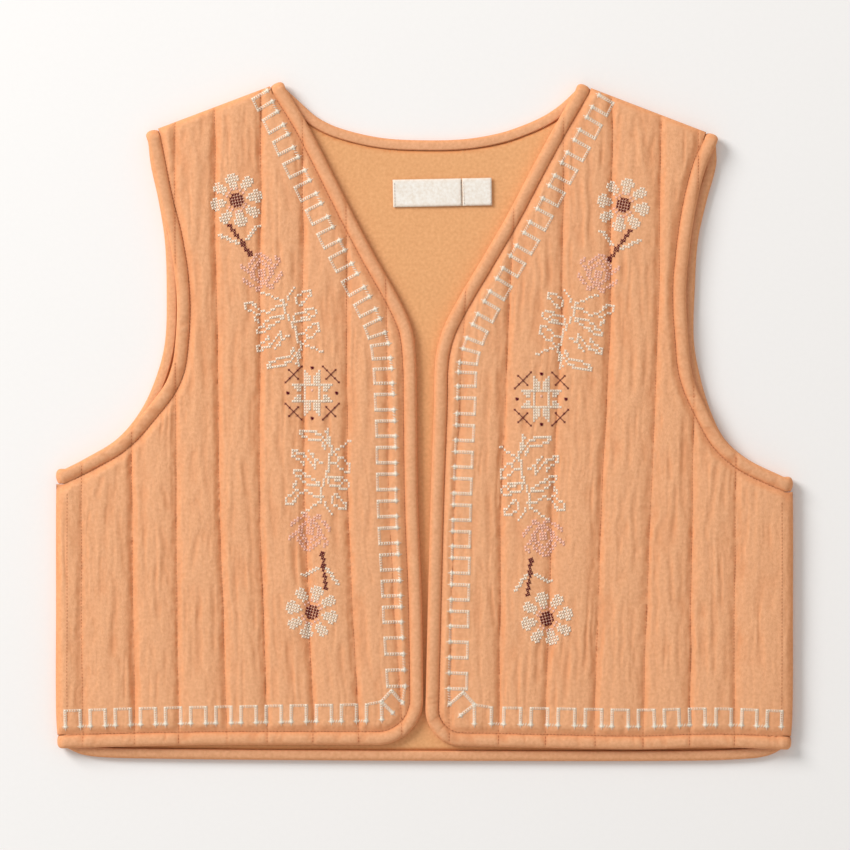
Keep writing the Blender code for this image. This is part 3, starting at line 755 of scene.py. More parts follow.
def from_folds(seams, points):
    """How far each point is from the nearest fold's outermost line, as a share of the fold."""
    away = [nearest_on(rings[0], points)[0] for rings in seams]
    return np.minimum.reduce(away) / FOLD


def fullness(seams, points):
    """How full the rounded cloth is at each point, from 0 at the outermost line of a fold to 1."""
    share = np.clip(from_folds(seams, points), 0, 1)
    return np.sqrt(1 - (1 - share) ** 2)


def ease(share):
    share = np.clip(share, 0, 1)
    return share * share * (3 - 2 * share)


@lru_cache(maxsize=None)
def random_table(seed):
    return np.random.default_rng(seed).uniform(-1, 1, (NOISE_CELLS, NOISE_CELLS))


def noise(seed, u, v):
    """Smooth seeded noise from -1 to 1 over cells of size one."""
    table = random_table(seed)
    i, j = np.floor(u).astype(int), np.floor(v).astype(int)
    fu, fv = ease(u - i), ease(v - j)
    value = 0
    for du in (0, 1):
        for dv in (0, 1):
            weight = (fu if du else 1 - fu) * (fv if dv else 1 - fv)
            value = value + weight * table[(i + du) % NOISE_CELLS, (j + dv) % NOISE_CELLS]
    return value


def layered(seed, u, v, layers):
    """Layers of noise, each with its weight and the size of its cells."""
    return sum(
        weight * noise(seed + i, u / wide, v / tall)
        for i, (weight, wide, tall) in enumerate(layers)
    )


def crinkle(seed, across, y):
    """The relief of crinkled gauze: rounded upright ridges with narrow uneven creases between.

    across is the distance from the stitched line on the left, with an offset for each channel.
    """
    u = across + layered(seed, across, y, DRIFT)
    relief = layered(seed + 2, u, y, WRINKLES)
    for i, (weight, wide, tall) in enumerate(FINE_CREASES):
        off = noise(seed + 4 + i, u / wide, y / tall) / FINE_CREASE_WIDTH
        strength = 0.5 + 0.9 * noise(seed + 6 + i, u / wide / 1.5 + 5, y / tall * 1.8)
        relief = relief - weight * np.exp(-(off**2)) * np.clip(strength, 0, 1.2)
    return relief + CRINKLE_RISE


def creased(rows, points):
    """How far the main creases sink the cloth at each point, with a slight ridge beside each."""
    x, y = points[:, 0], points[:, 1]
    sunk = np.zeros(len(points))
    for i, (x_top, y_top, x_foot, y_foot, depth, width) in enumerate(rows):
        near = np.flatnonzero((y < y_top) & (y > y_foot) & (abs(x - (x_top + x_foot) / 2) < 9.0))
        down = (y_top - y[near]) / (y_top - y_foot)
        middle = x_top + (x_foot - x_top) * down + 0.8 * noise(i, y[near] / 9, 0 * down)
        ends = ease(down / 0.22) * ease((1 - down) / 0.35)
        off = (x[near] - middle) / width
        sunk[near] += depth * ends * (np.exp(-(off**2)) - 0.5 * np.exp(-((off + 1.9) ** 2)))
    return sunk


def channels(lines, points):
    """For upright quilting lines: the channel of each point, and its places in that channel.

    lines has a row for each line, with its x at every point. The places are the share of the
    way across, the distance to the nearer line, and the distance to the line on the left.
    """
    lines = np.sort(lines, axis=0)
    x = points[:, 0]
    i = np.clip((lines < x).sum(axis=0) - 1, 0, len(lines) - 2)
    pick = np.arange(len(x))
    before, after = lines[i, pick], lines[i + 1, pick]
    share = np.clip((x - before) / np.maximum(after - before, 1e-6), 0, 1)
    return i, share, np.minimum(abs(x - before), abs(after - x)), x - before


def front_lines(side, y, with_ends):
    """The x of each quilting line of a front at some heights."""
    y = np.asarray(y, float)
    rows = [np.interp(y, QUILTING_Y[::-1], row[::-1]) for row in QUILTING[side]]
    rows = [row + 0.35 * noise(40 + i, y / 23, y * 0 + i) for i, row in enumerate(rows)]
    if with_ends:
        toward_side = -1 if side == "right" else 1
        rows = [y * 0 + toward_side * SIDE_REACH, *rows, y * 0 + toward_side * MIDDLE_REACH]
    return np.array(rows)


def back_lines(y, with_ends):
    y = np.asarray(y, float)
    rows = [y * 0 + x + 0.5 * noise(70 + i, y / 40, y * 0 + i) for i, x in enumerate(BACK_QUILTING)]
    if with_ends:
        rows = [y * 0 - SIDE_REACH, *rows, y * 0 + SIDE_REACH]
    return np.array(rows)


def quilted_rise(lines, pull, points, seed, cloth, creases):
    """The relief of quilted gauze above its stitched lines, and its painted shade along the
    stitched lines, in the creases and towards both lines of each channel.
    """
    channel, share, near, across = channels(lines, points)
    y = points[:, 1]
    pull = np.array(pull)[channel + (share > 0.5)] * (0.8 + 0.3 * noise(seed + 12, channel, y / 19))
    dome = 1 - (2 * share - 1) ** 2
    bank = 1 - (1 - ease(near / BANK_WIDTH + 0.04)) * pull
    small = crinkle(seed, across + 31.0 * channel, y)
    sunk = CREASE_SHARE * creased(creases, points)
    free = ease(near / 1.5 + 0.25)
    pucker = noise(seed + 8, near / 2.4 + 7, y / 2.1) * np.exp(-((near / 2.8) ** 2))
    stitched = np.exp(-((near / 0.5) ** 2)) * pull
    rise = cloth.puff_height / MM * (DOME_SHARE * dome + BANK_SHARE * bank)
    rise += (cloth.crinkle_depth / MM * small - sunk) * free
    rise += PUCKERS * pucker - cloth.groove_depth / MM * stitched
    # Painted shade: darker along the stitched lines, in the small and main creases, and towards
    # both lines of each channel.
    hollow_shade = 0.5 * stitched + 0.26 * np.clip(-small - 0.1, 0, 1) * free
    hollow_shade += 0.5 * np.clip(sunk, 0, 1) * free + 0.17 * abs(2 * share - 1) ** 3
    return rise, np.clip(hollow_shade, 0, 1)


class Front:
    """The outside surface of one quilted front."""

    def __init__(self, side, cloth):
        self.side, self.cloth = side, cloth
        self.edge, self.armhole = front_edge(side), armhole_edge(side, "front")
        self.edges = self.edge, self.armhole
        ends = (self.edge, 0), (self.armhole, 0)
        self.shoulder = seam_rings(side, ("neck", "shoulder"), *ends)
        ends = (self.armhole, -1), (self.edge, -1)
        self.flank = seam_rings(side, ("underarm", "hem"), *ends)
        self.outline = outline_of(
            [(self.armhole, True), (self.edge, False)], [self.flank, self.shoulder]
        )

    def surface(self, points):
        """Height of the outside at each point, and its painted shade."""
        seed = 100 + 50 * SIDES.index(self.side)
        lines = front_lines(self.side, points[:, 1], True)
        pull = QUILTING_PULL[self.side][:: 1 if self.side == "right" else -1]
        rise, hollow_shade = quilted_rise(lines, pull, points, seed, self.cloth, CREASES[self.side])
        depths, alongs = zip(*(edge.measured(points) for edge in self.edges))
        depth = np.minimum(*depths)
        along = np.where(depths[0] < depths[1], alongs[0], alongs[1] + 500)
        away = depth - OUTSIDE_FACE
        gathers = noise(seed + 9, along / 2.8, away / 9 + 3) * np.exp(-((away / 5.5) ** 2))
        full = CHANNEL_LEVEL + rise + GATHERS * gathers
        height = GRIPPED_LEVEL + (full - GRIPPED_LEVEL) * ease(away / 4.6 + 0.12)
        height = np.where(away < UNDER_STRIP, GRIPPED_HIGH, height)
        seams = self.shoulder, self.flank
        folded = SEAM_CLOTH + (height - SEAM_CLOTH) * fullness(seams, points)
        # Painted shade along the seam where the cloth meets the strip.
        hollow_shade = hollow_shade + 0.4 * np.exp(-(away**2))
        height = np.where(away < UNDER_STRIP, height, folded)
        return FRONT_BASE + height, np.clip(hollow_shade, 0, 1)

    def underside(self, points):
        """Height of the inside at each point, with no painted shade."""
        away = depth_in(self.edges, points) - INSIDE_FACE - GAP
        return FRONT_BASE + GRIPPED_LOW * (1 - np.clip(away, 0, 1)), np.zeros(len(points))


def scattered(outline, step, lines_at=None, near_lines=(), tall=1.0):
    """Points over a panel about a step apart, closer together on both sides of its stitched lines.

    tall is how much further apart they are up the panel than across it.
    """
    low, high = outline.min(axis=0), outline.max(axis=0)
    heights = np.arange(low[1], high[1], step * tall)
    rows = []
    jitter = np.random.default_rng(5)
    for i, y in enumerate(heights):
        x = np.arange(low[0] + (i % 2) * step / 2, high[0], step)
        x = x + jitter.uniform(-0.08, 0.08, len(x)) * step
        rows.append(np.column_stack([x, np.full(len(x), y)]))
    grid = np.vstack(rows)
    if lines_at is not None:
        near = abs(lines_at(grid[:, 1]) - grid[:, 0]).min(axis=0)
        grid = grid[near > near_lines[-1] + 0.5 * step]
        columns = []
        for line in lines_at(heights):
            for mark in sorted({*near_lines, *(-m for m in near_lines)}):
                columns.append(np.column_stack([line + mark, heights]))
        grid = np.vstack([grid, *columns])
    return grid[inside_of(outline, grid)]


def triangulate(outline, loose):
    """Triangles inside an outline, with its points first in order round the rim."""
    points = [Vector(p) for p in outline] + [Vector(p) for p in loose]
    face = list(range(len(outline)))
    found, _, faces, sources, _, _ = delaunay_2d_cdt(points, [], [face], 1, 1e-4)
    place = {source: i for i, ids in enumerate(sources) for source in ids}
    return np.array([tuple(p) for p in found]), faces, [place[i] for i in face]


def linked(name, data):
    """An object in the scene for a mesh, a light or a camera."""
    made = bpy.data.objects.new(name, data)
    bpy.context.scene.collection.objects.link(made)
    return made


def piece(name, finish, vertices, faces, hollow_shade=None):
    """An object from points in millimetres, with its faces turned outward."""
    mesh = bpy.data.meshes.new(name)
    mesh.from_pydata((np.asarray(vertices, float) * MM).tolist(), [], faces)
    shape = bmesh.new()
    shape.from_mesh(mesh)
    bmesh.ops.recalc_face_normals(shape, faces=shape.faces[:])
    shape.to_mesh(mesh)
    shape.free()
    if hollow_shade is not None:
        mesh.attributes.new("hollow_shade", "FLOAT", "POINT").data.foreach_set("value", hollow_shade)
    mesh.shade_smooth()
    mesh.materials.append(finish)
    made = linked(name, mesh)
    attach(made, "root")
    return made


def shell(name, finish, outline, top_points, top, bottom_points, bottom):
    """A cloth wall between two height functions that share an outline."""
    vertices, hollow_shades, faces, rims = [], [], [], []
    for loose, surface in ((top_points, top), (bottom_points, bottom)):
        flat, triangles, rim = triangulate(outline, loose)
        base = sum(len(v) for v in vertices)
        heights, hollow_shade = surface(flat)
        vertices.append(np.column_stack([flat, heights]))
        hollow_shades.append(hollow_shade)
        faces += [tuple(base + i for i in triangle) for triangle in triangles]
        rims.append([base + i for i in rim])
    upper, lower = rims
    for i in range(len(upper)):
        faces.append((upper[i - 1], upper[i], lower[i], lower[i - 1]))
    return piece(name, finish, np.vstack(vertices), faces, np.concatenate(hollow_shades))


def tubes(paths, radii, sides=5):
    """Thread along many paths of equally many points: vertices and faces.

    paths is an array of (path, point, axis) and radii gives the thickness along a path.
    """
    paths = np.asarray(paths, float)
    count, steps, _ = paths.shape
    tangent = np.gradient(paths, axis=1)
    tangent /= np.maximum(np.linalg.norm(tangent, axis=2, keepdims=True), 1e-9)
    across = np.cross(tangent, (0.0, 0.0, 1.0))
    across /= np.maximum(np.linalg.norm(across, axis=2, keepdims=True), 1e-9)
    up = np.cross(across, tangent)
    angles = np.arange(sides) / sides * 2 * math.pi
    ring = np.cos(angles)[:, None] * across[:, :, None] + np.sin(angles)[:, None] * up[:, :, None]
    vertices = paths[:, :, None] + np.asarray(radii)[:, None, None] * ring
    index = np.arange(count * steps * sides).reshape(count, steps, sides)
    turned = np.roll(index, -1, axis=2)
    quads = np.stack([index[:, :-1], turned[:, :-1], turned[:, 1:], index[:, 1:]], axis=-1)
    faces = quads.reshape(-1, 4).tolist()
    faces += index[:, 0, ::-1].tolist() + index[:, -1].tolist()
    return vertices.reshape(-1, 3), faces


def arched(starts, ends, height, sink, steps=4):
    """Stitches from starts to ends, both (n, 3): each dips into the cloth at its ends."""
    share = np.linspace(0, 1, steps)[None, :, None]
    paths = starts[:, None] * (1 - share) + ends[:, None] * share
    arch = np.sin(share[..., 0] * math.pi)
    paths[:, :, 2] += height * arch - sink * (1 - arch)
    return paths


def on_surface(front, flat):
    heights, _ = front.surface(flat)
    return np.column_stack([flat, heights])


# Materials


def linear(colour):
    return [c / 12.92 if c <= 0.04045 else ((c + 0.055) / 1.055) ** 2.4 for c in colour]


def shade(colour, factors):
    """A colour for a socket, scaled channel by channel."""
    return (*(min(c * f, 1.0) for c, f in zip(linear(colour), factors)), 1.0)


def add(tree, kind, inputs=None, **settings):
    """A node with its settings, its plain values and its links."""
    made = tree.nodes.new(kind)
    for key, value in settings.items():
        setattr(made, key, value)
    for key, value in (inputs or {}).items():
        if isinstance(value, bpy.types.NodeSocket):
            tree.links.new(value, made.inputs[key])
        else:
            made.inputs[key].default_value = value
    return made


def mixed(tree, factor, a, b, mode="MIX"):
    """Two colours blended by a factor."""
    made = add(tree, "ShaderNodeMix", {0: factor, 6: a, 7: b}, data_type="RGBA", blend_type=mode)
    return made.outputs[2]


def worked(tree, operation, a, b):
    """Two values added or multiplied."""
    return add(tree, "ShaderNodeMath", {0: a, 1: b}, operation=operation).outputs[0]


def speckled(tree, place, scale, detail=2.0, distortion=0.0):
    """Fine noise from 0 to 1."""
    values = {"Vector": place, "Scale": scale, "Detail": detail, "Distortion": distortion}
    return add(tree, "ShaderNodeTexNoise", values).outputs["Fac"]


def waved(tree, place, scale, distortion, direction):
    """Soft bands from 0 to 1 across a direction."""
    values = {"Vector": place, "Scale": scale, "Distortion": distortion, "Detail": 1.0}
    settings = {"wave_type": "BANDS", "bands_direction": direction}
    return add(tree, "ShaderNodeTexWave", values, **settings).outputs["Fac"]


def blank_material(name):
    """A new material, with its node tree and the place on the object."""
    made = bpy.data.materials.new(name)
    made.use_nodes = True
    tree = made.node_tree
    return made, tree, add(tree, "ShaderNodeTexCoord").outputs["Object"]


def surfaced(tree, colour, values, relief=None):
    """Gives a material its colour, its plain values and a relief: height, distance and strength."""
    shader = tree.nodes["Principled BSDF"]
    tree.links.new(colour, shader.inputs["Base Color"])
    for key, value in values.items():
        shader.inputs[key].default_value = value
    if relief:
        named = dict(zip(("Height", "Distance", "Strength"), relief))
        bump = add(tree, "ShaderNodeBump", named)
        tree.links.new(bump.outputs["Normal"], shader.inputs["Normal"])


def cloth_material(name, colour, pitch, roughness, sheen, uneven, weave_depth, crimp):
    """Plain-woven cloth: threads both ways, uneven yarn, soft mottling, and painted shade in its
    grooves, creases and on its steep slopes.

    crimp is how much the cloth crinkles finely upright, against the depth of its weave.
    """
    made, tree, place = blank_material(name)
    scale = 2 * math.pi / (20 * pitch * MM)
    bands = [waved(tree, place, scale, uneven, direction) for direction in ("X", "Y")]
    weave = worked(tree, "MULTIPLY", *bands)
    slub = speckled(tree, place, 900.0, 3.0)
    cloud = speckled(tree, place, 34.0)
    fluff = speckled(tree, place, 620.0, 3.0)
    # Painted shade: faces that tilt away from upright turn darker and warmer, standing in for the
    # light that bounces within the cloth's creases.
    facing = add(tree, "ShaderNodeSeparateXYZ", {0: add(tree, "ShaderNodeNewGeometry").outputs[1]})
    limits = {"Value": facing.outputs[2], 1: 1.0, 2: 0.8, 3: 0.0, 4: 1.0}
    slope = add(tree, "ShaderNodeMapRange", limits).outputs[0]
    toned = mixed(
        tree, weave, shade(colour, (0.95, 0.93, 0.91)), shade(colour, (1.07, 1.07, 1.08))
    )
    for factor, low, high in (
        (cloud, (0.95, 0.94, 0.93, 1), (1.03, 1.03, 1.03, 1)),
        (fluff, (0.85, 0.76, 0.66, 1), (1.17, 1.23, 1.29, 1)),
        (slope, (1.0, 1.0, 1.0, 1), (1.0, 0.89, 0.79, 1)),
    ):
        toned = mixed(tree, 1.0, toned, mixed(tree, factor, low, high), "MULTIPLY")
    # Painted shade: the cloth is mixed toward a darker, redder colour where the mesh marks its
    # grooves, creases, seams and tucks.
    hollow_shade = add(tree, "ShaderNodeAttribute", attribute_name="hollow_shade").outputs["Fac"]
    toned = mixed(tree, hollow_shade, toned, shade(colour, (0.80, 0.54, 0.38)))
    relief = worked(tree, "ADD", worked(tree, "ADD", weave, slub), fluff)
    if crimp:
        stretched = add(tree, "ShaderNodeMapping", {"Vector": place, "Scale": (1.0, 0.45, 0.45)})
        upright = speckled(tree, stretched.outputs[0], 800.0, distortion=0.2)
        relief = worked(tree, "ADD", relief, worked(tree, "MULTIPLY", upright, crimp))
    values = {
        "Roughness": roughness,
        "Sheen Weight": sheen,
        "Sheen Roughness": 0.5,
        "Sheen Tint": shade(colour, (1.1, 1.15, 1.3)),
        "Specular IOR Level": 0.25,
    }
    surfaced(tree, toned, values, (relief, weave_depth * MM, 0.8))
    return made


def thread_material(name, colour):
    """Twisted cotton thread: fine slanting plies and an uneven, frayed tone."""
    made, tree, place = blank_material(name)
    ply = waved(tree, place, 900.0, 1.5, "DIAGONAL")
    fray = speckled(tree, place, 700.0)
    plies = mixed(tree, ply, shade(colour, (0.88,) * 3), shade(colour, (1.06,) * 3))
    worn = mixed(tree, fray, (0.88, 0.87, 0.86, 1), (1.05, 1.05, 1.05, 1))
    values = {"Roughness": 0.6, "Specular IOR Level": 0.15}
    surfaced(tree, mixed(tree, 1.0, plies, worn, "MULTIPLY"), values, (ply, 0.05 * MM, 0.6))
    return made


def material(name):
    """One of the waistcoat's materials, made the first time it is asked for."""
    found = bpy.data.materials.get(name)
    if found:
        return found
    scene = bpy.context.scene
    if name in CLOTHS:
        source, *values = CLOTHS[name]
        return cloth_material(name, getattr(scene.waistcoat_cloth, source), *values)
    return thread_material(name, getattr(scene.waistcoat_thread, name.split()[0]))


# Properties


def colour_property(name, description, default):
    return bpy.props.FloatVectorProperty(
        name=name,
        description=description,
        default=default,
        subtype="COLOR_GAMMA",
        size=3,
        min=0.0,
        max=1.0,
    )


def length_property(name, description, default):
    return bpy.props.FloatProperty(
        name=name,
        description=description,
        default=default,
        min=0.0,
        unit="LENGTH",
        precision=5,
    )


class WaistcoatCloth(bpy.types.PropertyGroup):
    """Colours and relief of the cloth"""

    gauze: colour_property("Gauze", "Colour of the quilted gauze", (0.975, 0.73, 0.552))
    binding: colour_property("Binding", "Colour of the bindings", (0.95, 0.712, 0.54))
    # The lining's colour is set darker and more orange than the gauze: painted shade for the shade
    # it lies in.
    lining: colour_property("Lining", "Colour of the plain lining", (0.92, 0.69, 0.485))
    label: colour_property("Label", "Colour of the label tape", (0.955, 0.945, 0.925))
    puff_height: length_property("Puff", "Height of the quilting between its lines", 0.002)
    crinkle_depth: length_property("Crinkle", "Depth of the gauze's small creases", 0.0004)
    groove_depth: length_property("Groove", "Depth of the stitched lines", 0.0004)


class WaistcoatThread(bpy.types.PropertyGroup):
    """Colours and thickness of the threads"""

    cream: colour_property("Cream", "Colour of the cream thread", (1.0, 0.95, 0.885))
    pink: colour_property("Pink", "Colour of the pink thread", (1.0, 0.815, 0.755))
    burgundy: colour_property("Burgundy", "Colour of the burgundy thread", (0.39, 0.0, 0.14))
    # The sewing thread is set darker and redder than the gauze: painted shade for the stitched
    # grooves.
    quilting: colour_property("Quilting", "Colour of the sewing thread", (0.76, 0.44, 0.29))
    label: colour_property("Label", "Colour of the labels' sewing thread", (0.93, 0.92, 0.90))
    radius: length_property("Radius", "Radius of the needlework thread", 0.00024)


class WaistcoatStage(bpy.types.PropertyGroup):
    """Floor and light"""

    floor: colour_property("Floor", "Colour of the floor", (0.957, 0.955, 0.955))
    key: bpy.props.FloatProperty(
        name="Key light",
        description="Power of the soft light from the upper left",
        default=102.0,
        min=0.0,
        unit="POWER",
    )
    sky: bpy.props.FloatProperty(
        name="Sky",
        description="Strength of the light from all around",
        default=0.56,
        min=0.0,
        subtype="FACTOR",
    )


# Operators


def flat_surface(height):
    """A surface at one height with no painted shade."""
    return lambda points: (np.full(len(points), height), np.zeros(len(points)))


def flat_area(outline):
    """Area inside an outline in millimetres, as square metres."""
    x, y = outline[:, 0], outline[:, 1]
    return abs((x * np.roll(y, -1) - y * np.roll(x, -1)).sum()) / 2 * MM**2


def declare_panel(node, outline):
    """Hides the solid that a laid sheet stands for, and works out the sheet's area without keeping
    it.
    """
    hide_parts(node)
    float(flat_area(outline))


class WAISTCOAT_OT_fronts(bpy.types.Operator):
    """Make both quilted fronts"""

    bl_idname = "waistcoat.fronts"
    bl_label = "Fronts"

    def execute(self, context):
        cloth = context.scene.waistcoat_cloth
        for side in SIDES:
            front = Front(side, cloth)
            outside = scattered(
                front.outline, lines_at=lambda y: front_lines(side, y, False), **FRONT_GRID
            )
            made = shell(
                f"{side}_front_quilted",
                material("crinkled gauze"),
                front.outline,
                outside,
                front.surface,
                scattered(front.outline, HIDDEN_STEP),
                front.underside,
            )
            declare_panel(f"{side}_front", front.outline)
        return {"FINISHED"}


def back_edges():
    """The back's bound edges, each with the way round that the outline takes it."""
    right_arm, left_arm = (armhole_edge(side, "back") for side in SIDES)
    neck, hem = across_back(BACK_NECK, "neck"), across_back(BACK_HEM, "hem")
    return [(right_arm, True), (hem, True), (left_arm, False), (neck, False)]


def back_seams(edges):
    """The back's seams, each after the bound edge that it follows round the outline."""
    (right_arm, _), (hem, _), (left_arm, _), (neck, _) = edges
    side, shoulder = ("underarm", "hem"), ("neck", "shoulder")
    return [
        seam_rings("right", side, (right_arm, -1), (hem, 0)),
        [ring[::-1] for ring in seam_rings("left", side, (left_arm, -1), (hem, -1))],
        [ring[::-1] for ring in seam_rings("left", shoulder, (neck, -1), (left_arm, 0))],
        seam_rings("right", shoulder, (neck, 0), (right_arm, 0)),
    ]


class WAISTCOAT_OT_back(bpy.types.Operator):
    """Make the quilted back, whose outside lies on the floor"""

    bl_idname = "waistcoat.back"
    bl_label = "Back"

    def execute(self, context):
        cloth = context.scene.waistcoat_cloth
        ordered = back_edges()
        edges, seams = [edge for edge, _ in ordered], back_seams(ordered)
        outline = outline_of(ordered, seams)
        creases = [
            (-x_top, y_top - 6.0, -x_foot, y_foot - 6.0, depth, width)
            for rows in CREASES.values()
            for x_top, y_top, x_foot, y_foot, depth, width in rows
        ]

        def underside(points):
            lines = back_lines(points[:, 1], True)
            pull = [BACK_PULL] * (len(lines) + 1)
            rise, hollow_shade = quilted_rise(lines, pull, points, 300, cloth, creases)
            sunk = np.clip(BACK_CROWN - rise, 0, 1.5)
            away = depth_in(edges, points) - OUTSIDE_FACE
            lifted = GRIPPED_LOW + 0.1
            height = sunk + (lifted - sunk) * (1 - ease(away / 4.0 + 0.1))
            height = np.where(away < 0, lifted, height)
            folded = (LAYER - SEAM_CLOTH) * (1 - fullness(seams, points))
            return np.maximum(height, folded), hollow_shade

        def inside(points):
            rise = 1 - np.clip((from_folds(seams, points) - 0.6) / 0.4, 0, 1)
            rise = np.where(depth_in(edges, points) < OUTSIDE_FACE, 0.0, rise)
            return BACK_INSIDE + BACK_RIM_RISE * rise, np.zeros(len(points))

        made = shell(
            "back_quilted",
            material("crinkled gauze"),
            outline,
            scattered(outline, lines_at=lambda y: back_lines(y, False), **BACK_GRID),
            underside,
            scattered(outline, HIDDEN_STEP),
            inside,
        )
        declare_panel("back_panel", outline)
        return {"FINISHED"}


class WAISTCOAT_OT_lining(bpy.types.Operator):
    """Make the plain inner cloth of the back"""

    bl_idname = "waistcoat.lining"
    bl_label = "Lining"

    def execute(self, context):
        outline, edges = [], []
        for edge, forward in back_edges():
            edges.append(edge)
            line = edge.offset(INSIDE_FACE + 0.15)
            line[0] -= 0.7 * edge.outs[0]
            line[-1] -= 0.7 * edge.outs[1]
            outline += list(line if forward else line[::-1])
        outline = np.array(outline)

        def top(points):
            x, y = points[:, 0], points[:, 1]
            soft = 0.5 + 0.5 * noise(400, x / 21 + y / 60, y / 37)
            fine = abs(noise(401, x / 9 + y / 40, y / 24))
            dip = np.exp(-(((depth_in(edges, points) - INSIDE_FACE) / 1.2) ** 2))
            height = LAYER - LINING_SINK - 0.5 * soft - 0.12 * (1 - fine) - 0.35 * dip
            # Painted shade: the lining darkens where it meets the back's bindings.
            return height, 0.6 * dip

        top_step, under_step = LINING_STEPS
        made = shell(
            "back_lining_cloth",
            material("plain lining"),
            outline,
            scattered(outline, top_step),
            top,
            scattered(outline, under_step),
            flat_surface(LAYER - LINING_THICKNESS),
        )
        declare_panel("back_lining", outline)
        return {"FINISHED"}


def tucks(seed, along, into, strength):
    """How much a binding's outside sinks in the small tucks across it."""
    lean = along + 0.3 * into + 0.5 * noise(seed + 3, along / 5, into / 4)
    crossing = noise(seed, lean / TUCK_PITCH, into / 40)
    depth = 0.5 + 0.5 * noise(seed + 1, lean / TUCK_PITCH + 9, into / 5)
    narrow = np.exp(-((crossing / TUCK_WIDTH) ** 2)) * depth
    soft = noise(seed + 2, lean / 7.5, into / 12)
    return strength * TUCK_DEPTH * narrow * ease((into - 0.4) / 2.5) - TUCK_WAVES * soft


def strip_rows(edge, layer, seed, strength=None, side=None):
    """The strip's cross-sections along a bound edge, as (row, point, axis), and their painted shade
    in seams and tucks.

    strength is how strong the tucks are at each point of the edge, and side says which front's
    quilting lines pinch the strip.
    """
    into, rise = (np.array(column) for column in zip(*STRIP))
    outer = (into > 0.3) & (rise > 2.6)
    along = edge.along[:, None]
    strength = 0.6 if strength is None else strength[:, None]
    sink = np.where(outer, tucks(seed, along, into[None, :], strength), 0.0)
    puckered = np.where(into > 6.0, 0.12 * noise(seed + 2, along / 1.6, into[None, :]), 0.0)
    place = edge.points[:, None] + (into[None, :] + puckered)[..., None] * edge.inward[:, None]
    if side:
        lines = front_lines(side, place[..., 1].ravel(), False)
        off = abs(lines - place[..., 0].ravel()).min(axis=0).reshape(sink.shape)
        sink = sink + np.where(outer, PINCH * np.exp(-((off / 0.9) ** 2)), 0.0)
    high = rise[None, :] - sink
    height = FRONT_BASE + high if layer == "front" else np.maximum(LAYER - high, LOWEST)
    rows = np.concatenate([place, height[..., None]], axis=2)
    # Painted shade in the seams beside the strip and in its tucks.
    outside_seam = np.exp(-(((into[None, :] - OUTSIDE_FACE) / 0.5) ** 2))
    inside_seam = np.exp(-(((into[None, :] - INSIDE_FACE) / 0.35) ** 2)) * (rise < 0.6)
    hollow_shade = np.clip(0.5 * (outside_seam + inside_seam) + 0.9 * np.clip(sink, 0, 1), 0, 1)
    return rows, hollow_shade


def strip_folds(edge, layer, which):
    """The strip's cross-sections over the fold at one end of an edge, to its outermost line."""
    rows = []
    for degrees in FOLD_ANGLES:
        angle = math.radians(degrees)
        section = []
        for into, rise in STRIP:
            place = edge.points[which] + into * edge.inward[which]
            place = place + (rise + FOLD_INNER) * math.sin(angle) * edge.outs[which]
            up = rise * math.cos(angle)
            height = FRONT_BASE + up if layer == "front" else max(LAYER - up, LOWEST)
            section.append((*place, height))
        rows.append(section)
    return np.array(rows)


def strip_piece(name, parts, closed, node):
    """A binding from its runs of cross-sections, either a closed ring or with two ends."""
    rows = np.vstack([rows for rows, _ in parts])
    hollow_shade = np.concatenate([hollow_shade.ravel() for _, hollow_shade in parts])
    count, around = rows.shape[:2]
    index = np.arange(count * around).reshape(count, around)
    ahead = np.roll(index, -1, axis=0) if closed else index[1:]
    here = index if closed else index[:-1]
    quads = np.stack([here, np.roll(here, -1, 1), np.roll(ahead, -1, 1), ahead], axis=-1)
    faces = quads.reshape(-1, 4).tolist()
    if not closed:
        faces += [index[0, ::-1].tolist(), index[-1].tolist()]
    made = piece(name, material("binding gauze"), rows.reshape(-1, 3), faces, hollow_shade)
    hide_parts(node)


def plain(rows):
    """Cross-sections with no painted shade."""
    return rows, np.zeros(rows.shape[:2])


def backward(run):
    rows, hollow_shade = run
    return rows[::-1], hollow_shade[::-1]


class WAISTCOAT_OT_bindings(bpy.types.Operator):
    """Make the folded strips that bind the open edges"""

    bl_idname = "waistcoat.bindings"
    bl_label = "Bindings"

    def execute(self, context):
        edges = back_edges()
        runs = [
            ("back_hem_binding", edges[1][0], "back", 500),
            ("back_neck_binding", edges[3][0], "back", 510),
            ("right_front_binding", front_edge("right"), "front", 520),
            ("left_front_binding", front_edge("left"), "front", 530),
        ]
        for node, edge, layer, seed in runs:
            side = node.split("_")[0] if layer == "front" else None
            strength = np.where(edge.points[:, 1] < HEM_TOP, 1.0, 0.3)
            parts = [
                plain(strip_folds(edge, layer, 0)[::-1]),
                strip_rows(edge, layer, seed, strength, side),
                plain(strip_folds(edge, layer, -1)),
            ]
            strip_piece(f"{node}_strip", parts, False, node)
        for side, back in zip(SIDES, (edges[0][0], edges[2][0])):
            front = armhole_edge(side, "front")
            strength = 0.35 + 0.75 * ease((90.0 - front.points[:, 1]) / 90.0)
            parts = [
                strip_rows(front, "front", 540 + SIDES.index(side), strength, side),
                plain(strip_folds(front, "front", -1)),
                plain(strip_folds(back, "back", -1)[::-1]),
                backward(strip_rows(back, "back", 550)),
                plain(strip_folds(back, "back", 0)),
                plain(strip_folds(front, "front", 0)[::-1]),
            ]
            node = f"{side}_armhole_binding"
            strip_piece(f"{node}_strip", parts, True, node)
        return {"FINISHED"}


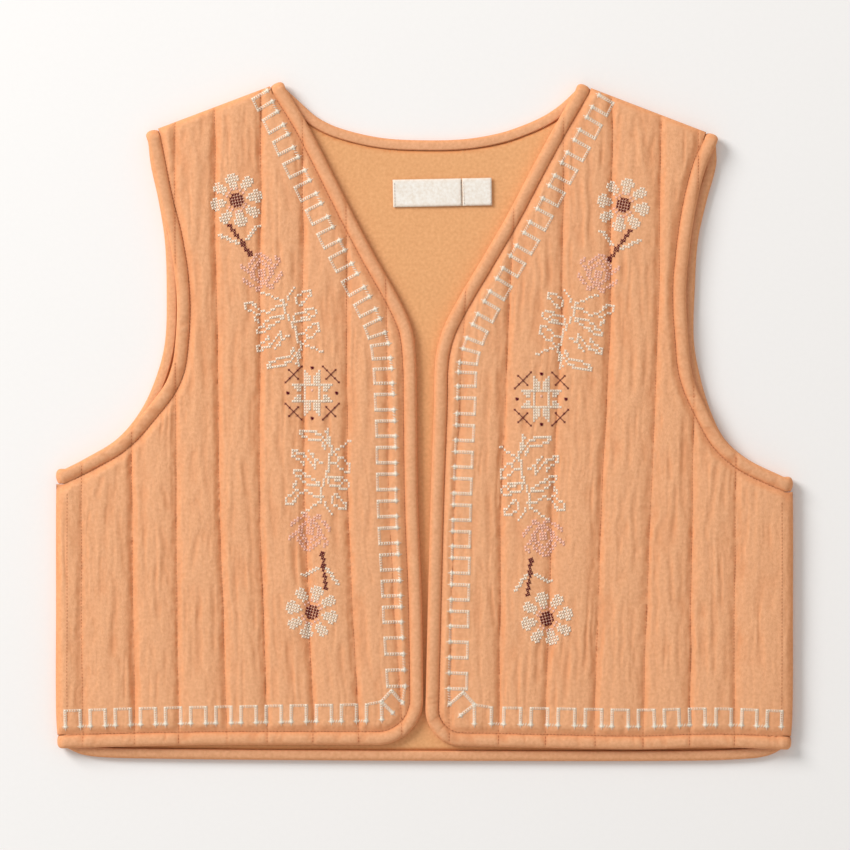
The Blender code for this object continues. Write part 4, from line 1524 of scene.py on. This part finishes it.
class WAISTCOAT_OT_labels(bpy.types.Operator):
    """Make the two bare woven labels and the stitches at their ends"""

    bl_idname = "waistcoat.labels"
    bl_label = "Labels"

    def execute(self, context):
        across = np.array((math.cos(LABEL_TILT), math.sin(LABEL_TILT)))
        up = np.array((-math.sin(LABEL_TILT), math.cos(LABEL_TILT)))
        for order, (name, (x, y, width)) in enumerate(LABELS.items()):
            columns, rows = round(width), LABEL_ROWS
            u, v = np.meshgrid(np.linspace(-0.5, 0.5, columns), np.linspace(-0.5, 0.5, rows))
            u, v = u * width, v * LABEL_HEIGHT
            flat = np.array((x, y)) + u[..., None] * across + v[..., None] * up
            wave = 0.12 * np.sin(u / 7 + order) + 0.08 * np.sin(v / 3 + u / 11)
            edge = np.minimum(width / 2 - abs(u), LABEL_HEIGHT / 2 - abs(v))
            high = FRONT_BASE + LABEL_LEVEL + wave + 0.08 * ease(edge / LABEL_SEAM)
            top = np.concatenate([flat, high[..., None]], axis=2).reshape(-1, 3)
            low = top - (0.0, 0.0, LABEL_THICKNESS)
            index = np.arange(rows * columns).reshape(rows, columns)
            quads = np.stack(
                [index[:-1, :-1], index[:-1, 1:], index[1:, 1:], index[1:, :-1]], axis=-1
            ).reshape(-1, 4)
            faces = quads.tolist() + (quads[:, ::-1] + rows * columns).tolist()
            rim = [*index[0], *index[1:, -1], *index[-1, -2::-1], *index[-2:0:-1, 0]]
            for i in range(len(rim)):
                a, b = int(rim[i - 1]), int(rim[i])
                faces.append((a, b, b + rows * columns, a + rows * columns))
            # Painted shade along the line where the label's edge is folded under.
            hollow_shade = np.tile(0.18 * np.exp(-((edge.ravel() - LABEL_SEAM) / 0.3) ** 2), 2)
            vertices = np.vstack([top, low])
            made = piece(f"{name}_tape", material("label tape"), vertices, faces, hollow_shade)
            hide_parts(name)
            length, step, level, from_end = LABEL_STITCH.values()
            paths = []
            for end in (-1, 1):
                middle = np.array((x, y)) + end * (width / 2 - from_end) * across
                for k in np.arange(LABEL_SEAM - LABEL_HEIGHT / 2, LABEL_HEIGHT / 2 - length, step):
                    ends = middle + k * up, middle + (k + length) * up
                    paths.append([(*place, FRONT_BASE + level) for place in ends])
            starts, ends = np.array(paths).transpose(1, 0, 2)
            stitches = tubes(arched(starts, ends, 0.1, 0.12), (0.1, 0.14, 0.14, 0.1))
            piece(f"{name}_stitches", material("label thread"), *stitches)
        return {"FINISHED"}


def running_stitches(place, line, length, radius):
    """Machine stitches along a line, placed on a surface: vertices and faces."""
    along = lengths_along(line)
    starts = np.arange(0.3, along[-1] - length, length + MACHINE_GAP)
    flat = [
        np.stack([np.interp(at, along, line[:, k]) for k in range(2)], axis=1)
        for at in (starts, starts + length)
    ]
    paths = arched(*(place(points) for points in flat), MACHINE_LIFT, MACHINE_SINK, steps=3)
    return tubes(paths, MACHINE_TAPER * radius, sides=4)


def on_strip(front, flat):
    """Points on the outside of a front's bindings."""
    into, rise = np.array(STRIP[7:17]).T
    depth = depth_in(front.edges, flat)
    return np.column_stack([flat, FRONT_BASE + np.interp(depth, into, rise) - 0.3])


def gathered(parts):
    """Several meshes as one."""
    vertices, faces, base = [], [], 0
    for points, polygons in parts:
        vertices.append(points)
        faces += [[i + base for i in polygon] for polygon in polygons]
        base += len(points)
    return np.vstack(vertices), faces


class WAISTCOAT_OT_quilting(bpy.types.Operator):
    """Sew the quilting lines and the seams beside the bindings"""

    bl_idname = "waistcoat.quilting"
    bl_label = "Quilting stitches"

    def execute(self, context):
        for side in SIDES:
            front = Front(side, context.scene.waistcoat_cloth)
            on_cloth = partial(on_surface, front)
            surfaces = (
                (on_cloth, OUTSIDE_FACE + 0.5, 200.0),
                (partial(on_strip, front), 0.9, OUTSIDE_FACE - 0.2),
            )
            parts = []
            heights = np.arange(-166.0, 170.0, 0.5)
            for x in front_lines(side, heights, False):
                line = np.column_stack([x, heights])
                depth = depth_in(front.edges, line)
                inside = inside_of(front.outline, line) | (depth > 0) & (depth < OUTSIDE_FACE)
                for place, low, high in surfaces:
                    for first, last in stretches(inside & (depth > low) & (depth < high)):
                        if last - first > 5:
                            parts.append(running_stitches(place, line[first:last], *QUILTED))
            seams = [edge.offset(OUTSIDE_FACE + 0.25)[4:-4] for edge in front.edges]
            fold = front.flank[-1]
            seams.append(fold[2:-2] - (1.6 * np.sign(fold[0, 0]), 0))
            parts += [running_stitches(on_cloth, line, *SEWN) for line in seams]
            name = f"{side}_front_quilting_stitches"
            made = piece(name, material("quilting thread"), *gathered(parts))
        return {"FINISHED"}


def stretches(clear):
    """The first and the after-last index of each unbroken run of true values."""
    ends = np.flatnonzero(np.diff(np.concatenate([[False], clear, [False]]).astype(int)))
    return list(zip(ends[::2], ends[1::2]))


def chart_places(side, chart, right, left, across, down, turn, mirrored, upside_down):
    """Where each cross of a chart goes, with its letter, and the chart's two ways.

    The turn and the mirroring are the right front's. The left front has them the other way.
    """
    rows = chart.split()
    middle = np.array(right if side == "right" else left)
    if side == "left":
        turn, mirrored = -turn, not mirrored
    angle = math.radians(turn)
    way_x = np.array((math.cos(angle), math.sin(angle))) * across
    way_y = np.array((math.sin(angle), -math.cos(angle))) * down
    if upside_down:
        way_y = -way_y
    if mirrored:
        way_x = -way_x
    places = []
    for j, row in enumerate(rows):
        for i, letter in enumerate(row):
            if letter != ".":
                u, v = i - (len(row) - 1) / 2, j - (len(rows) - 1) / 2
                places.append((letter, middle + u * way_x + v * way_y))
    return places, way_x, way_y


def crosses(front, places, way_x, way_y, radius, jitter, reach=0.92, lift=0.12):
    """Cross stitches, two legs each, that reach so far into their corners: vertices and faces."""
    centres = np.array(places) + jitter.uniform(-0.05, 0.05, (len(places), 2))
    legs = []
    for order, corner_way in enumerate((way_x + way_y, way_x - way_y)):
        half = corner_way / 2 * reach
        ends = [on_surface(front, centres + sign * half) for sign in (-1, 1)]
        middle = on_surface(front, centres)[:, 2]
        level = np.maximum((ends[0][:, 2] + ends[1][:, 2]) / 2, middle)
        for end in ends:
            end[:, 2] = 0.5 * end[:, 2] + 0.5 * level
        paths = arched(*ends, lift + 0.12 * order, 0.05)
        legs.append(tubes(paths, CROSS_TAPER * radius, sides=4))
    return gathered(legs)


def straight_stitch(front, start, end, radius, lift):
    """One stitch that lies over the cloth from start to end."""
    line = resampled(np.array([start, end], float), 0.8)
    placed = on_surface(front, line)
    share = np.linspace(0, 1, len(line))
    smooth = np.polyval(np.polyfit(share, placed[:, 2], min(3, len(line) - 1)), share)
    placed[:, 2] = np.maximum(smooth, placed[:, 2] - 0.1) + lift
    placed[[0, -1], 2] -= 0.4
    return tubes(placed[None], np.full(len(line), radius))


class WAISTCOAT_OT_motifs(bpy.types.Operator):
    """Embroider the cross-stitch flowers, branches and stars"""

    bl_idname = "waistcoat.motifs"
    bl_label = "Cross-stitch"

    def execute(self, context):
        thread = context.scene.waistcoat_thread
        radius = thread.radius / MM
        colours = {"c": "cream", "p": "pink", "b": "burgundy"}
        for side in SIDES:
            front = Front(side, context.scene.waistcoat_cloth)
            jitter = np.random.default_rng(11 + SIDES.index(side))
            parts = {letter: [] for letter in colours}
            for motif in MOTIFS:
                places, way_x, way_y = chart_places(side, *motif)
                for letter in colours:
                    chosen = [place for found, place in places if found == letter]
                    if chosen:
                        size, reach = radius * THICKNESS[letter], REACH[letter]
                        made = crosses(front, chosen, way_x, way_y, size, jitter, reach)
                        parts[letter].append(made)
                    if letter == "b" and motif[0] is FLOWER:
                        between = [p + (way_x + way_y) / 2 for p in chosen]
                        ways = 0.3 * way_x, 0.3 * way_y
                        dots = crosses(front, between, *ways, 0.9 * radius, jitter, lift=0.5)
                        parts["p"].append(dots)
            parts["b"] += star_corners(front, radius)
            for letter, colour in colours.items():
                made = piece(
                    f"{side}_front_{colour}_crosses",
                    material(f"{colour} thread"),
                    *gathered(parts[letter]),
                )
        return {"FINISHED"}


def star_corners(front, radius):
    """The saltire at each corner of a star and the knots between them."""
    centre = np.array(STAR_PLACES[SIDES.index(front.side)])
    jitter = np.random.default_rng(3)
    small = np.array((KNOT_SIZE, 0.0)), np.array((0.0, KNOT_SIZE))
    parts = []
    for sx in (-1, 1):
        for sy in (-1, 1):
            middle = centre + np.array(SALTIRE["away"]) * (sx, sy)
            ways = unit(np.array((sx * -1.0, sy * 1.0))), unit(np.array((sx * 1.0, sy * 1.0)))
            for way, half in zip(ways, (SALTIRE["long"], SALTIRE["short"])):
                ends = middle - way * half, middle + way * half
                parts.append(straight_stitch(front, *ends, radius * 0.8, 0.2))
                marks = [*ends]
                if half > SALTIRE["short"]:
                    marks += [middle - way * half / 2, middle + way * half / 2]
                parts.append(crosses(front, marks, *small, radius * 0.85, jitter))
    for way in ((0, 1), (0, -1), (1, 0), (-1, 0)):
        middle = centre + np.array(way) * KNOTS_AWAY
        cluster = [middle + place for place in KNOT_CLUSTER]
        parts.append(crosses(front, cluster, *small, radius * 0.95, jitter))
    return parts


def meander(place, at, steps, on_outer):
    """The border's bars and runs from a length along the edge on, and its knots.

    place gives the point at a length along the edge, on the inner run if its second value is
    true. The steps are taken in turn, and on_outer says whether the first is on the outer run.
    """
    bars, inner, outer, knots = [], [], [], []
    for step in steps:
        run = place(np.linspace(at, at + step, 7), not on_outer)
        (outer if on_outer else inner).append(run)
        at, on_outer = at + step, not on_outer
        bars.append(np.array([place(at, True), place(at, False)]))
        knots.append((place(at, False), unit(place(at, False) - place(at, True))))
    return bars, inner, outer, knots


def border_lines(front):
    """The border as lines on the cloth: cross bars, inner and outer runs, and the knots."""
    side, edge = front.side, front.edge
    lines = [[], [], [], []]

    def place(along, inside):
        table = np.array(BORDER_DEPTHS[side])
        return edge.at(along, np.interp(along, table[:, 0], table[:, 2 if inside else 1]))

    def place_on_hem(along, inside):
        table = np.array(HEM_DEPTHS[side])
        away = abs(edge.at(along, 0.0)[..., 0])
        return edge.at(along, np.interp(away, table[:, 0], table[:, 2 if inside else 1]))

    steps = [0.0, BORDER_FIRST[side]]
    steps += [step for times, *pair in BORDER_STEPS[side] for step in pair * times]
    for found, more in zip(lines, meander(place, BORDER_START, steps, True)):
        found += more
    last_knot = lines[3][-1][0]
    knot, peak, hub, second, third = (np.array(p) for p in BORDER_FAN[side])
    lines[2].append(np.array([last_knot, knot]))
    for line in ((peak, knot), (peak, hub), (hub, second), (hub, third)):
        lines[0].append(np.array(line))
    rays = (peak, knot), (hub, second), (hub, third)
    lines[3] += [(end, unit(end - away)) for away, end in rays]
    first = np.array([[HEM_FIRST[side], FRONT_CORNER["y"][SIDES.index(side)] + 4.0]])
    along = float(edge.measured(first)[1][0])
    lines[1].append(np.array([hub, place_on_hem(along, True)]))
    steps = [0.0] + [step for times, *pair in HEM_STEPS[side] for step in pair * times]
    for found, more in zip(lines, meander(place_on_hem, along, steps, False)):
        found += more
    return lines


def laddered(front, line, pitch, width, slants, radius):
    """Short slanting stitches side by side along a line, which cross where there are two slants."""
    points = resampled(np.asarray(line, float), pitch)
    way = np.gradient(points, axis=0)
    way /= np.linalg.norm(way, axis=1)[:, None]
    aside = np.stack([-way[:, 1], way[:, 0]], axis=1)
    parts = []
    for slant in slants:
        half = width / 2 * aside + slant / 2 * way
        ends = [on_surface(front, points + sign * half) for sign in (-1, 1)]
        paths = arched(*ends, 0.14, -0.02, steps=3)
        parts.append(tubes(paths, LADDER_TAPER * radius, sides=4))
    return gathered(parts)


class WAISTCOAT_OT_border(bpy.types.Operator):
    """Embroider the border that follows the front edges and the hem"""

    bl_idname = "waistcoat.border"
    bl_label = "Border stitch"

    def execute(self, context):
        radius = context.scene.waistcoat_thread.radius / MM
        for side in SIDES:
            front = Front(side, context.scene.waistcoat_cloth)
            *runs, knots = border_lines(front)
            parts = []
            for lines, (pitch, width, slants, thickness) in zip(runs, BORDER_THREADS):
                for line in lines:
                    if lengths_along(line)[-1] > SHORTEST_RUN:
                        size = thickness * radius
                        parts.append(laddered(front, line, pitch, width, slants, size))
            for place, way in knots:
                aside = np.array((-way[1], way[0]))
                for forward, sideways, long in KNOT_LEGS:
                    half = (forward * way + sideways * aside) * long
                    ends = place - half, place + half
                    parts.append(straight_stitch(front, *ends, 0.8 * radius, 0.25))
            made = piece(f"{side}_front_border_stitch", material("cream thread"), *gathered(parts))
        return {"FINISHED"}


class WAISTCOAT_OT_stage(bpy.types.Operator):
    """Set the pale floor, the soft light and the camera overhead"""

    bl_idname = "waistcoat.stage"
    bl_label = "Stage"

    def execute(self, context):
        scene = context.scene
        stage = scene.waistcoat_stage
        made, tree, place = blank_material("pale floor")
        pale, bright = (shade(stage.floor, (factor,) * 3) for factor in (0.99, 1.01))
        tone = mixed(tree, speckled(tree, place, 400.0), pale, bright)
        surfaced(tree, tone, {"Roughness": 0.9, "Specular IOR Level": 0.1})
        mesh = bpy.data.meshes.new("floor")
        signs = (-1, -1), (1, -1), (1, 1), (-1, 1)
        corners = [(FLOOR_REACH * x, FLOOR_REACH * y, 0.0) for x, y in signs]
        mesh.from_pydata(corners, [], [(0, 1, 2, 3)])
        mesh.materials.append(made)
        floor = linked("floor", mesh)
        floor.location.z = -FLOOR_DROP

        world = bpy.data.worlds.new("soft sky")
        world.use_nodes = True
        background = world.node_tree.nodes["Background"]
        background.inputs["Color"].default_value = SKY_COLOUR
        background.inputs["Strength"].default_value = stage.sky
        scene.world = world
        scene.view_settings.view_transform = "Standard"

        light = bpy.data.lights.new("key", "AREA")
        light.shape = "DISK"
        light.size = KEY_SIZE
        light.energy = stage.key
        light.color = KEY_COLOUR
        key = linked("key", light)
        key.location = KEY_PLACE
        key.rotation_euler = (-key.location).to_track_quat("-Z", "Y").to_euler()

        lens = bpy.data.cameras.new("overhead")
        lens.lens = LENS
        lens.sensor_width = SENSOR
        lens.clip_end = CLIP_END
        camera = linked("overhead", lens)
        camera.location = (*CAMERA_PLACE, PICTURE_WIDTH * LENS / SENSOR + CAMERA_LEVEL)
        scene.camera = camera
        return {"FINISHED"}


class WAISTCOAT_PT_sidebar(bpy.types.Panel):
    """Lists the waistcoat's properties and operators"""

    bl_idname = "WAISTCOAT_PT_sidebar"
    bl_label = "Waistcoat"
    bl_space_type = "VIEW_3D"
    bl_region_type = "UI"
    bl_category = "Waistcoat"

    def draw(self, context):
        for key, group in GROUPS.items():
            box = self.layout.box()
            for name in group.__annotations__:
                box.prop(getattr(context.scene, key), name)
        for operator in OPERATORS:
            self.layout.operator(operator.bl_idname)


GROUPS = {
    "waistcoat_cloth": WaistcoatCloth,
    "waistcoat_thread": WaistcoatThread,
    "waistcoat_stage": WaistcoatStage,
}
OPERATORS = (
    WAISTCOAT_OT_back,
    WAISTCOAT_OT_lining,
    WAISTCOAT_OT_fronts,
    WAISTCOAT_OT_bindings,
    WAISTCOAT_OT_labels,
    WAISTCOAT_OT_quilting,
    WAISTCOAT_OT_motifs,
    WAISTCOAT_OT_border,
    WAISTCOAT_OT_stage,
)


def register():
    for name, group in GROUPS.items():
        bpy.utils.register_class(group)
        setattr(bpy.types.Scene, name, bpy.props.PointerProperty(type=group))
    for operator in OPERATORS:
        bpy.utils.register_class(operator)
    bpy.utils.register_class(WAISTCOAT_PT_sidebar)


def unregister():
    bpy.utils.unregister_class(WAISTCOAT_PT_sidebar)
    for operator in reversed(OPERATORS):
        bpy.utils.unregister_class(operator)
    for name, group in GROUPS.items():
        delattr(bpy.types.Scene, name)
        bpy.utils.unregister_class(group)


def main():
    """Makes the waistcoat and its stage."""
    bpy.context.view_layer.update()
    register()
    bpy.ops.waistcoat.back()
    bpy.ops.waistcoat.lining()
    bpy.ops.waistcoat.fronts()
    bpy.ops.waistcoat.bindings()
    bpy.ops.waistcoat.labels()
    bpy.ops.waistcoat.quilting()
    bpy.ops.waistcoat.motifs()
    bpy.ops.waistcoat.border()
    bpy.ops.waistcoat.stage()


if __name__ == "__main__":
    main()
